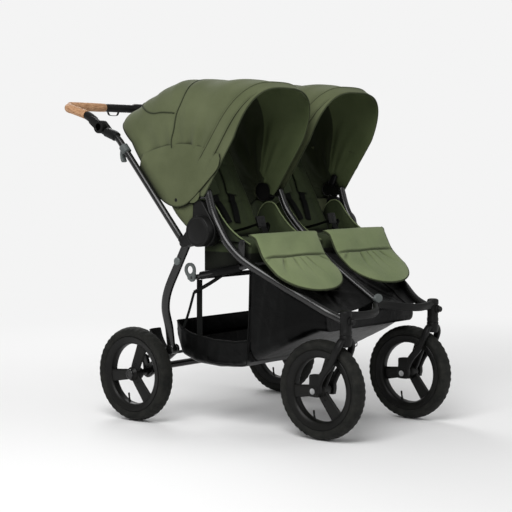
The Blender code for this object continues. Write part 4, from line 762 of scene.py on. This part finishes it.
for side, s in sides.items():
    halfWide = (canopy["outX"] - canopy["inX"]) / 2 - canopy["sheet"] - 0.0005
    u = np.linspace(-1, 1, 121)
    across, up = hoopShape(u)
    front, rear = edges(up)
    v = np.linspace(0, 1, 97)[:, None]
    turn = rear + (front - rear) * v
    pull = bell(up, 0.42, 0.26)  # slack low on the sides, taut over the hoops
    bend = np.radians(turn)
    fold = 0.0032 * pull * np.sin(bend * 11 + 5 * up) + 0.0022 * pull * np.sin(bend * 23 - 9 * up)
    seamTurn = seamTurnAt("seam", up)
    tuck = -0.002 * bell(turn, seamTurn, 1.2)
    lift = np.clip((turn - 98) / 24, 0, 1)  # the front panel rises to meet the hoop
    radius = canopyRadius(turn) + tuck + 0.0115 * lift * lift * (3 - 2 * lift)
    sheetGrid = canopyPoint(s, turn, across, up, halfWide + (fold - fold.max()) * (1 - 0.85 * lift), radius)
    canopyPiece = makeCloth("canopySheet_" + side, [gridPart(sheetGrid)], "canopy", canopy["sheet"],
                            replaces="canopy_" + side, inside="lining")
    centre = np.array([s * canopyMid, *canopyPivot])
    outward = unit(sheetGrid - centre - np.array([0, 0, 0.1]))
    trims = [sweep(sheetGrid[row] - outward[row] * 0.0008, canopy["pipe"], across=outward[row], count=10)
             for row in (0, len(sheetGrid) - 1)]
    uSeam = np.linspace(-0.93, 0.93, 181)
    for key, limit in (("seam", 0.185), ("flap", 0.685)):
        upSeam = hoopShape(uSeam)[1]
        keep = upSeam > limit
        frontSeam, rearSeam = edges(upSeam[keep])
        share = (seamTurnAt(key, upSeam[keep]) - rearSeam) / (frontSeam - rearSeam)
        line = sampleGrid(sheetGrid, share.clip(0, 1) * (len(v) - 1), (uSeam[keep] + 1) / 2 * (len(u) - 1))
        away = unit(line - centre)
        trims.append(sweep(line + away * 0.0004, 0.0019, across=away, count=10))
    pipingPiece = makePiece("canopyPiping_" + side, trims, "piping", "chassis")
    snap = [(0, -0.001), (0.006, -0.001), (0.006, 0.0006), (0.0045, 0.0014), (0, 0.0017)]
    snaps = [lathe(snap, (s * x, y, z), "X", sign, 24) for y, z in ((0.272, 0.778), (0.15, 0.706))
             for sign, x in ((s, 0.3572), (-s, 0.0146))]
    snapPiece = makePiece("canopySnaps_" + side, snaps, "plastic", "chassis")
    declareSheet(canopyPiece, sheetGrid)

    # front hoop: a hemmed band just outside the sheet's front edge, and its pivot discs
    halfHoop = (canopy["outX"] - canopy["inX"]) / 2
    end = canopy["frontTurn"] + np.degrees(np.arcsin(np.minimum(0.95, 0.01 / (up * 0.39))))
    width = (4.8 + 2.0 * (1 - up)) * 0.39 / np.maximum(up * 0.39, 0.1)
    rowsHoop = np.linspace(0, 1, 9)[:, None]
    swell = 0.0009 * np.sin(pi * rowsHoop) ** 0.5
    band = canopyPoint(s, end - (1 - rowsHoop) * width, across, up, halfHoop - 0.0012,
                       canopy["hoopR"] - 0.001 + swell)
    piece = makeCloth("canopyHem_" + side, [gridPart(band)], "canopy", 0.0022, "hoop_" + side,
                      "canopy_hoop_" + side, "canopy")
    away = unit(band[0] - centre)
    trims = [sweep(band[row], 0.002, across=away, count=10) for row in (0, len(band) - 1)]
    disc = [(0, 0), (0.031, 0), (0.032, 0.001), (0.0315, 0.0022), (0.027, 0.0033), (0.012, 0.004), (0, 0.0042)]
    outerDisc, innerDisc = (lathe(disc, (s * x, *canopyPivot), "X", sign, 48)
                            for x, sign in ((0.3535, s), (0.0158, -s)))
    makePiece("canopyPivotCloth_" + side, [outerDisc], "canopy", "hoop_" + side)
    arm = np.array([(s * 0.344, y, z) for y, z in ((0.086, 0.728), (0.078, 0.752), (0.064, 0.78))])
    discs = [innerDisc, sweep(arm, [0.006, 0.0075, 0.005], [0.015, 0.012, 0.009], (1, 0, 0), 20, 3.0)]
    hemPiping = makePiece("canopyHemPiping_" + side, trims, "canopy", "hoop_" + side)
    declareSheet(piece, band)
    makePiece("canopyPivotDiscs_" + side, discs, "plastic", "hoop_" + side)
    makePiece("canopyPivotScrews_" + side, [screwHead(s * 0.0118, *canopyPivot, -s, 0.006)], "steel",
              "hoop_" + side)
# side skirts: the cloth that hangs over the hoop's pivot, rounded below, let into the canopy above
skirtEdge = [(-0.031, 0.835), (-0.0206, 0.805), (0.0166, 0.769), (0.0726, 0.719), (0.11, 0.694), (0.1466, 0.686),
             (0.184, 0.692), (0.222, 0.713), (0.259, 0.741), (0.287, 0.773), (0.308, 0.805)]
skirtEdge = sideCurve(skirtEdge)
skirtTop = np.stack([0 * skirtEdge[:, 0], np.linspace(-0.026, 0.296, len(skirtEdge)),
                     0.85 + 0.03 * np.sin(pi * np.linspace(0, 1, len(skirtEdge)))], -1)
for side, s in sides.items():
    # straight lines from the top to the rounded edge, set in above and with a faint ripple
    t = np.linspace(0, 1, 40)[:, None]
    skirt = skirtTop[None] * (1 - t[..., None]) + skirtEdge[None] * t[..., None]
    inset = 0.0065 * np.clip(1 - t / 0.45, 0, 1) ** 1.5 + 0.0006 * (1 + np.sin(skirt[..., 1] * 38 + 2 * t))
    skirt[..., 0] = s * (0.3584 - inset)
    piece = makeCloth("canopySkirt_" + side, [gridPart(skirt)], "canopy", 0.0007)
    down = np.linspace(0.16, 0.97, 40)
    seamLine = sampleGrid(skirt, down * (len(t) - 1), 48.5 - 7.0 * down) - np.array([s * 0.0007, 0, 0])
    hemLine = skirt[-1] - np.array([s * 0.0008, 0, 0])
    skirtTrims = [sweep(hemLine, 0.0012, count=10), sweep(seamLine, 0.0012, count=10)]
    edgePiece = makePiece("canopySkirtPiping_" + side, skirtTrims, "piping", "chassis")
    declareSheet(piece, skirt)
print("canopies ready")

# seats: cushion, backrest with folds and bolsters, harness
seat = {"x": 0.1815, "cushionW": 0.27, "backW": 0.272, "backLong": 0.39, "backThick": 0.04, "lean": 62.0}


def closedPad(front, back):
    # two equal grids joined round their border
    rows, cols = front.shape[:2]
    a, b = gridPart(front), gridPart(back)
    grid = np.arange(rows * cols).reshape(rows, cols)
    border = np.concatenate([grid[0, :-1], grid[:-1, -1], grid[-1, :0:-1], grid[:0:-1, 0]])
    nextOne = np.roll(border, -1)
    rim = np.stack([border, nextOne, nextOne + rows * cols, border + rows * cols], -1)
    return (np.vstack([a[0], b[0]]), np.vstack([a[1], b[1] + rows * cols, rim]), np.vstack([a[2], b[2]]))


def superEdge(u, v, pu=4, pv=6):
    return ((1 - np.abs(u) ** pu) * (1 - np.abs(2 * v - 1) ** pv)).clip(0) ** 0.5


lean = radians(seat["lean"])
backUp, backOut = np.array([0, np.cos(lean), np.sin(lean)]), np.array([0, -np.sin(lean), np.cos(lean)])
backHinge = np.array([0, 0.08, 0.588])


def backPoint(mid, u, v, out):
    # up the leaning back from its hinge, out by the depth, narrower near the top
    narrow = 1 - 0.28 * np.clip((v - 0.72) / 0.28, 0, None) ** 2
    along = (v * seat["backLong"] - 0.006)
    base = backHinge + np.array([mid, 0, 0]) + backUp * along[..., None] + backOut * out[..., None]
    base[..., 0] += u * narrow * seat["backW"] / 2
    return base


def backDepth(u, v):
    # bolster each side, quilted seams across, vertical folds between them
    edge = superEdge(u, v, 4, 8)
    folds = 0.9 + 0.1 * np.cos(u * 13 + 1.8 * np.sin(v * 9)) - 0.05 * bell(np.abs(u), 0.62, 0.05)
    seamLines = 1 - 0.13 * sum(bell(v, k, 0.012) for k in (0.3, 0.62))
    hollow = 0.86 + 0.14 * np.abs(u) ** 1.5
    return seat["backThick"] * (0.22 + 0.76 * edge * folds * seamLines * hollow)


for side, s in sides.items():
    mid = s * seat["x"]
    u, v = np.meshgrid(np.linspace(-1, 1, 61), np.linspace(0, 1, 81))
    front = backPoint(mid, u, v, backDepth(u, v))
    back = backPoint(mid, u, v, -0.004 * superEdge(u, v))
    piece = makePiece("paddedBack_" + side, [closedPad(front, back)], "seat", "back_" + side, "backrest_" + side,
                      smoothAngle=0)

    # cushion: a flat top with a round edge, rolled down at the front, two seam dips and slight creases
    u, v = np.meshgrid(np.linspace(-1, 1, 61), np.linspace(0, 1, 51))
    roll = np.clip((v - 0.72) / 0.28, 0, None)
    edge = superEdge(u, v)
    draw = 1 - 0.035 * np.sin(pi * v) * np.abs(u)
    crease = 0.0022 * np.sin(9 * u + 4 * v) * edge + 0.0015 * np.sin(17 * v + 3 * u) * edge
    seamDip = 0.006 * sum(bell(v, k, 0.015) for k in (0.33, 0.66)) * edge
    y = 0.068 - v * 0.188
    top = np.stack([mid + u * draw * seat["cushionW"] / 2, y,
                    0.578 + 0.019 * edge - 0.018 * roll ** 2 - 0.01 * (1 - v) + crease - seamDip], -1)
    lowY = y + 0.006 * roll
    low = np.stack([mid + u * draw * seat["cushionW"] / 2, lowY, 0.497 - 0.199 * lowY], -1)
    piece = makePiece("paddedSeat_" + side, [closedPad(top, low)], "seatBase", "chassis", "seat_cushion_" + side,
                      smoothAngle=60)

    # shoulder pads and webbing lie on the backrest; crotch and lap straps meet in the buckle
    straps, pads = [], []
    for k in (-1, 1):
        vLine = np.linspace(0.8, 0.1, 40)
        uLine = k * np.interp(vLine, [0.1, 0.45, 0.8], [0.16, 0.34, 0.36])
        line = backPoint(mid, uLine, vLine, backDepth(uLine, vLine) + 0.0035)
        straps.append(sweep(line, 0.0125, 0.0009, (1, 0, 0), 12, 4.0))
        cushionLine = line[2:26] + backOut * 0.004
        swell = 0.0065 * np.sin(np.linspace(0.15, pi - 0.15, len(cushionLine))) ** 0.4
        pads.append(sweep(cushionLine, 0.0225, swell, (1, 0, 0), 20, 2.6))
    makePiece("shoulderStraps_" + side, straps, "webbing", "back_" + side)
    padPiece = makePiece("shoulderPads_" + side, pads, "seat", "back_" + side)
    lap = []
    for k in (-1, 1):
        route = [(mid + k * 0.125, 0.045, 0.592), (mid + k * 0.09, 0.01, 0.606),
                 (mid + k * 0.045, -0.03, 0.622), (mid + k * 0.018, -0.045, 0.632)]
        lap.append(sweep(smoothPath(route, 8), 0.0009, 0.0125, (0, 0.5, 0.85), 12, 4.0))
    crotch = [(mid, -0.075, 0.593), (mid, -0.066, 0.606), (mid, -0.055, 0.622), (mid, -0.05, 0.634)]
    lap.append(sweep(smoothPath(crotch, 8), 0.0125, 0.0009, (1, 0, 0), 12, 4.0))
    makePiece("lapStraps_" + side, lap, "webbing", "chassis")
    buckle = np.array([(mid, -0.049, 0.622), (mid, -0.047, 0.63), (mid, -0.042, 0.648), (mid, -0.04, 0.656)])
    latch = [sweep(smoothPath(buckle, 5), 0.019, 0.0065, (1, 0, 0), 24, 3.2)]
    latch.append(sweep(buckle[1:3] + np.array([0, -0.0062, 0.001]), 0.008, 0.0022, (1, 0, 0), 20, 2.4))
    makePiece("harnessBuckle_" + side, latch, "plastic", "chassis")

    # side walls of the seat: cloth from the cushion's edge up to the frame, with a rounded shoulder
    crest = [(0.1, 0.64), (0.086, 0.672), (0.058, 0.694), (0.026, 0.69), (-0.004, 0.655), (-0.04, 0.62),
             (-0.085, 0.592), (-0.118, 0.577)]
    crest = sideCurve(crest)
    foot = np.stack([0 * crest[:, 0], np.linspace(0.066, -0.112, len(crest)), np.full(len(crest), 0.583)], -1)
    t = np.linspace(0, 1, 24)[:, None]
    for edgeName, xTop, xLow in (("outer", 0.3172, 0.3178), ("inner", 0.03, 0.039)):
        wallGrid = crest[None] * (1 - t[..., None]) + foot[None] * t[..., None]
        swell = np.sin(pi * t) * (0.006 + 0.004 * np.sin(wallGrid[..., 1] * 75 + 3 * t))
        turnIn = 1 if edgeName == "inner" else -1
        wallGrid[..., 0] = s * (xTop + (xLow - xTop) * t + turnIn * 0.5 * swell)
        wallPiece = makeCloth(f"seatWall_{edgeName}_{side}", [gridPart(wallGrid)], "seat", 0.0016)
        edgePiece = makePiece(f"seatWallPiping_{edgeName}_{side}", [sweep(wallGrid[0], 0.0024, count=10)], "pad",
                              "chassis")
        declareSheet(wallPiece, wallGrid)
print("seats ready")

# leg rests: padded tongues with a cross seam, gathers below it and a piped edge
rest = {"halfW": 0.16, "seamV": 0.5, "thick": 0.015}
restLine = [(-0.132, 0.606), (-0.146, 0.596), (-0.16, 0.57), (-0.18, 0.535), (-0.215, 0.503), (-0.26, 0.469),
            (-0.3, 0.441)]
restLine = sideCurve(restLine, 12)
restLong = np.concatenate([[0], np.cumsum(np.linalg.norm(np.diff(restLine, axis=0), axis=1))])
for side, s in sides.items():
    mid = s * seat["x"]
    u, v = np.meshgrid(np.linspace(-1, 1, 91), np.linspace(0, 1, 91))
    # straight sides, a slight waist at the seam, then a round end
    wide = rest["halfW"] * (1 - 0.04 * bell(v, rest["seamV"], 0.06)) * np.sqrt(
        (1 - np.clip((v - 0.5) / 0.5, 0, 1) ** 2.8).clip(1e-4))
    wide = np.minimum(wide, rest["halfW"] * (0.9 + 0.1 * (1 - np.clip(v / 0.2, 0, 1)) + 0.04))
    length = np.interp(v[:, 0], np.linspace(0, 1, len(restLong)), restLong)
    line = np.stack([np.interp(length, restLong, restLine[:, k]) for k in range(3)], -1)
    tangent = unit(np.gradient(line, axis=0))
    face = np.cross(tangent, np.array([1.0, 0, 0]))
    face *= np.sign(face[:, 2:3] + 1e-9)
    edge = (1 - np.abs(u) ** 5).clip(0) ** 0.5 * (1 - v ** 7).clip(0) ** 0.5 * (1 - (1 - v) ** 9).clip(0) ** 0.5
    seamDip = 0.008 * bell(v, rest["seamV"], 0.012)
    below = np.clip((v - rest["seamV"]) / 0.06, 0, 1) * bell(v, rest["seamV"], 0.2)
    fan = u / (0.35 + 1.3 * np.clip(v - rest["seamV"], 0, 1))  # gathers spread out below the seam
    valleys = np.exp(-np.sin(fan * 4.2 + 1.2 * np.sin(fan * 2.1) + 0.8 * s) ** 2 / 0.06)
    gather = -0.0085 * below * valleys + 0.0016 * np.sin(u * 6 + v * 13) * edge
    # thickness by the rounded edge, lower at the seam, less the gathers' valleys
    puff = 0.8 + 0.2 * np.abs(np.sin(pi * (v / rest["seamV"]))) ** 0.5
    over = rest["thick"] * (0.15 + 0.62 * edge * puff) + gather * edge - seamDip * edge
    under = -rest["thick"] * (0.05 + 0.45 * edge)
    top = line[:, None] + face[:, None] * over[..., None]
    low = line[:, None] + face[:, None] * under[..., None]
    for grid in (top, low):
        grid[..., 0] = mid + u * wide
    piece = makePiece("paddedLegRest_" + side, [closedPad(top, low)], "pad", "leg_rest_" + side,
                      "leg_rest_" + side, smoothAngle=0)
    border = np.vstack([top[:-1, 0], top[-1], top[::-1, -1][1:]])
    borderIn = np.vstack([low[:-1, 0], low[-1], low[::-1, -1][1:]])
    edgeLine = border * 0.6 + borderIn * 0.4
    upward = np.vstack([face[:-1], np.tile(face[-1], (91, 1)), face[::-1][1:]])
    makePiece("legRestPiping_" + side, [sweep(edgeLine, 0.003, across=upward, count=10)], "piping",
              "leg_rest_" + side)
print("leg rests ready")

# footwells: coated nylon slung between the spine and each front tube
for side, s in sides.items():
    # straight lines between the tubes, less a sine sag, with crossing creases
    u, v = np.meshgrid(np.linspace(0, 1, 61), np.linspace(0, 1, 61))
    y = -0.125 - v * 0.225
    outX, outZ = alongPath(frontPath, y, 0) - 0.0128, alongPath(frontPath, y, 2)
    inZ = alongPath(spinePath, y, 2)
    sag = 0.022 * np.sin(pi * u) * (0.35 + 0.65 * np.sin(pi * np.minimum(1, v * 1.1)))
    ridge = (np.exp(-np.sin(3.1 * u + 4.5 * v + 0.7 * s) ** 2 / 0.06)
             - np.exp(-np.sin(5.0 * u - 3.6 * v) ** 2 / 0.08))
    crease = (0.0055 * ridge + 0.0015 * np.sin(24 * u - 15 * v)) * np.sin(pi * u) * np.sin(pi * v) ** 0.5
    z = inZ + (outZ - inZ) * u - 0.004 - sag + crease
    x = 0.0118 + (outX - 0.0118) * u
    grid = np.stack([s * x, y, z], -1)
    piece = makeCloth("footwellCloth_" + side, [gridPart(grid)], "nylon", 0.0022,
                      replaces="footwell_" + side)
    trims = [sweep(grid[-1] + np.array([0, 0, 0.001]), 0.0022, across=(0, 0, 1), count=10),
             sweep(grid[10:, 45] + np.array([0, 0, 0.0008]), 0.0014, across=(1, 0, 0), count=10)]
    edgePiece = makePiece("footwellPiping_" + side, trims, "nylon", "chassis")
    declareSheet(piece, grid)
print("footwells ready")

# basket: sagging tub with the outline of a pocket and hanging straps
basket = {"half": 0.285, "wall": 0.0022, "soft": 0.045}
stations = [(0.236, 0.262, 0.318, 0.263), (0.205, 0.206, 0.3, 0.279), (0.15, 0.19, 0.284, 0.285),
            (0.06, 0.1865, 0.272, 0.285), (-0.03, 0.193, 0.272, 0.285), (-0.083, 0.215, 0.28, 0.285)]
for y in (-0.09, -0.13, -0.175, -0.22, -0.265, -0.305, -0.335):
    railX, railZ = alongPath(frontPath, y, 0), alongPath(frontPath, y, 2)
    stations.append((y, min(0.322, 0.2045 + 0.485 * (-0.057 - y)), min(0.493 - 0.199 * y, railZ - 0.0185),
                     min(basket["half"], railX - 0.012)))
stations = np.array(stations, float)
fine = np.linspace(0, 1, 110)
place = np.concatenate([[0], np.cumsum(np.linalg.norm(np.diff(stations[:, :2], axis=0), axis=1))])
place /= place[-1]
rowsY, rowsLow, rowsHigh, rowsWide = (np.interp(fine, place, stations[:, k]) for k in range(4))
across = np.linspace(-1, 1, 121)[None, :]
soft = np.minimum(np.minimum(basket["soft"], rowsWide * 0.5), (rowsHigh - rowsLow) * 0.45)[:, None]
rise, floorHalf = (rowsHigh - rowsLow)[:, None] - soft, rowsWide[:, None] - soft
total = rise + soft * pi / 2 + floorHalf
d = np.abs(across) * total  # distance along the section from the middle of the floor
arc = np.clip((d - floorHalf) / soft, 0, pi / 2)
x = np.minimum(d, floorHalf) + soft * np.sin(arc)
z = rowsLow[:, None] + soft * (1 - np.cos(arc)) + np.clip(d - floorHalf - soft * pi / 2, 0, None)
ripple = 0.0025 * np.sin(fine[:, None] * 40 + across * 6) * np.sin(pi * fine[:, None])
belly = 0.004 * np.sin(pi * np.clip((z - rowsLow[:, None]) / (rowsHigh - rowsLow)[:, None], 0, 1))
x = x - (np.abs(ripple) * 0.8 + belly * 0.5) * (arc > 1.0) * (d < total * 0.985)
z = z + np.where(arc < 0.3, 0.3 * np.abs(ripple), 0)
grid = np.stack([np.sign(across) * x, rowsY[:, None] + 0 * x, z], -1)
# front and rear ends: the last section drawn straight up to its own rim
ends = []
for row in (grid[0], grid[-1]):
    t = np.linspace(0, 1, 9)[:, None, None]
    rimRow = np.stack([row[:, 0], row[:, 1], np.full(len(row), row[:, 2].max())], -1)
    ends.append(gridPart(row[None] * (1 - t) + rimRow[None] * t))
piece = makeCloth("basketTub", [gridPart(grid)] + ends, "nylon", basket["wall"],
                  replaces="basket")
rimLines = [grid[:, 0], grid[:, -1],
            np.stack([np.linspace(-0.26, 0.26, 40), np.full(40, 0.236), np.full(40, 0.318)], -1)]
hems = [sweep(line, 0.0028, across=(0, 0.2, 1), count=12) for line in rimLines]
hemPiece = makePiece("basketHem", hems, "webbing", "chassis")
extras = []
for side, s in sides.items():
    # an upright strap and two thinner ones, each half width with its points, then the pocket's outline
    for long, route in ((0.012, ((0.2835, 0.12, 0.27), (0.2842, 0.12, 0.36), (0.2835, 0.12, 0.4565))),
                        (0.006, ((0.286, 0.142, 0.415), (0.3, 0.06, 0.45), (0.312, -0.015, 0.487))),
                        (0.005, ((0.2855, 0.142, 0.415), (0.286, 0.165, 0.35), (0.2845, 0.19, 0.298)))):
        extras.append(sweep(smoothPath(mirrored(route, s)), 0.001, long, (1, 0, 0), 12, 4.0))
    pocket = ((0.09, 0.268), (0.088, 0.215), (0.07, 0.2), (-0.06, 0.203), (-0.076, 0.222), (-0.078, 0.272))
    pocket = sideCurve(pocket) + np.array([s * 0.2852, 0, 0])
    extras.append(sweep(pocket, 0.0012, 0.0016, (1, 0, 0), 8))
strapPiece = makePiece("basketStraps", extras, "webbing", "chassis")
declareSheet(piece, grid)
print("basket ready")

# side cloth between the housing, the handle tube and the canopy
for side, s in sides.items():
    upper = ((0.08, 0.69), (0.105, 0.7), (0.15, 0.7), (0.196, 0.722), (0.232, 0.762), (0.262, 0.806))
    lower = ((0.088, 0.626), (0.112, 0.622), (0.15, 0.654), (0.19, 0.7), (0.23, 0.748), (0.266, 0.796))
    upper, lower = sideCurve(upper), sideCurve(lower)
    # straight lines between the two curves, with small ripples
    t = np.linspace(0, 1, 16)[:, None, None]
    wing = upper[None] * (1 - t) + lower[None] * t
    innerWing = wing.copy()
    innerWing[..., 2] -= 0.045 * t[..., 0] * bell(wing[..., 1], 0.13, 0.06)
    innerWing[..., 0] = s * (0.0175 + 0.002 * np.sin(wing[..., 1] * 80))
    piece = makeCloth("innerWing_" + side, [gridPart(innerWing)], "seat", 0.0016)
    declareSheet(piece, innerWing)
    wing[..., 0] = s * (0.344 + 0.0035 * np.sin(pi * t[..., 0]) + 0.0012 * np.sin(wing[..., 1] * 90))
    piece = makeCloth("sideWing_" + side, [gridPart(wing)], "canopy", 0.002)
    declareSheet(piece, wing)

# CAD nodes that stay get a finish of their own
kept = {"steel": ["fold_pin_right", "fold_pin_left", "front_axle_right", "front_axle_left"],
        "grey": ["fold_lock_hook"]}
for look, names in kept.items():
    for name in names:
        for holder in [o for o in bpy.data.objects if o.name == name and o.type == "MESH"]:
            for slotPlace in holder.material_slots:
                slotPlace.material = looks[look]

# floor, light and camera
studio = {"floor": "#f2f2f2", "far": "#f4f4f4", "key": 120.0, "fill": 16.0, "rim": 60.0, "world": 0.36}
bpy.ops.mesh.primitive_grid_add(x_subdivisions=2, y_subdivisions=2, size=60.0, location=(0, 0, -0.0005))
floor = bpy.context.object
floor.name = "studioFloor"
material, tree, shader = newMaterial("paperFloor", 0.9)
place = addNode(tree, "TexCoord").outputs["Object"]
flat = addNode(tree, "VectorMath", links={0: place}, operation="LENGTH")
fade = addNode(tree, "MapRange", {"From Min": 0.8, "From Max": 3.2}, {"Value": flat.outputs["Value"]},
               interpolation_type="SMOOTHSTEP")
shader.inputs["Base Color"].default_value = toLinear(studio["floor"])
glow = addNode(tree, "Emission", {"Color": toLinear(studio["far"]), "Strength": 1.0})
blend = addNode(tree, "MixShader", links={0: fade.outputs[0], 1: shader.outputs[0], 2: glow.outputs[0]})
tree.links.new(blend.outputs[0], tree.nodes["Material Output"].inputs["Surface"])
floor.data.materials.append(material)

world = bpy.data.worlds.new("studioAir")
bpy.context.scene.world = world
world.use_nodes = True
air = world.node_tree
background = air.nodes["Background"]
background.inputs["Color"].default_value = (1, 1, 1, 1)
background.inputs["Strength"].default_value = studio["world"]
seen = addNode(air, "Background", {"Color": toLinear(studio["far"]), "Strength": 1.0})
rays = addNode(air, "LightPath")
either = addNode(air, "Math", links={0: rays.outputs["Is Camera Ray"], 1: rays.outputs["Is Transmission Ray"]},
                 operation="MAXIMUM")
mixed = addNode(air, "MixShader", links={0: either.outputs[0], 1: background.outputs[0], 2: seen.outputs[0]})
air.links.new(mixed.outputs[0], air.nodes["World Output"].inputs["Surface"])

lamps = {"key": ((-2.6, -1.2, 3.2), 2.4), "fill": ((1.6, -3.4, 1.8), 2.5), "rim": ((1.5, 2.8, 2.6), 2.0)}
for name, (spot, size) in lamps.items():
    lamp = bpy.data.lights.new(name + "Softbox", "AREA")
    lamp.energy, lamp.size = studio[name], size
    holder = bpy.data.objects.new(name + "Softbox", lamp)
    bpy.context.scene.collection.objects.link(holder)
    holder.location = spot
    holder.rotation_euler = (Vector((0, 0, 0.5)) - Vector(spot)).to_track_quat("-Z", "Y").to_euler()

view = bpy.data.cameras.new("photoCamera")
view.lens, view.sensor_width = 96.4, 36.0
viewer = bpy.data.objects.new("photoCamera", view)
bpy.context.scene.collection.objects.link(viewer)
viewer.location = (-3.4367, -2.7758 - centreY, 0.8146)
aim = Vector((-0.152, -centreY, 0.529)) - viewer.location
viewer.rotation_euler = aim.to_track_quat("-Z", "Y").to_euler()
bpy.context.scene.camera = viewer
bpy.context.scene.view_settings.view_transform = "Standard"

print("cuts in metres:", json.dumps(cuts))
print("scene ready")
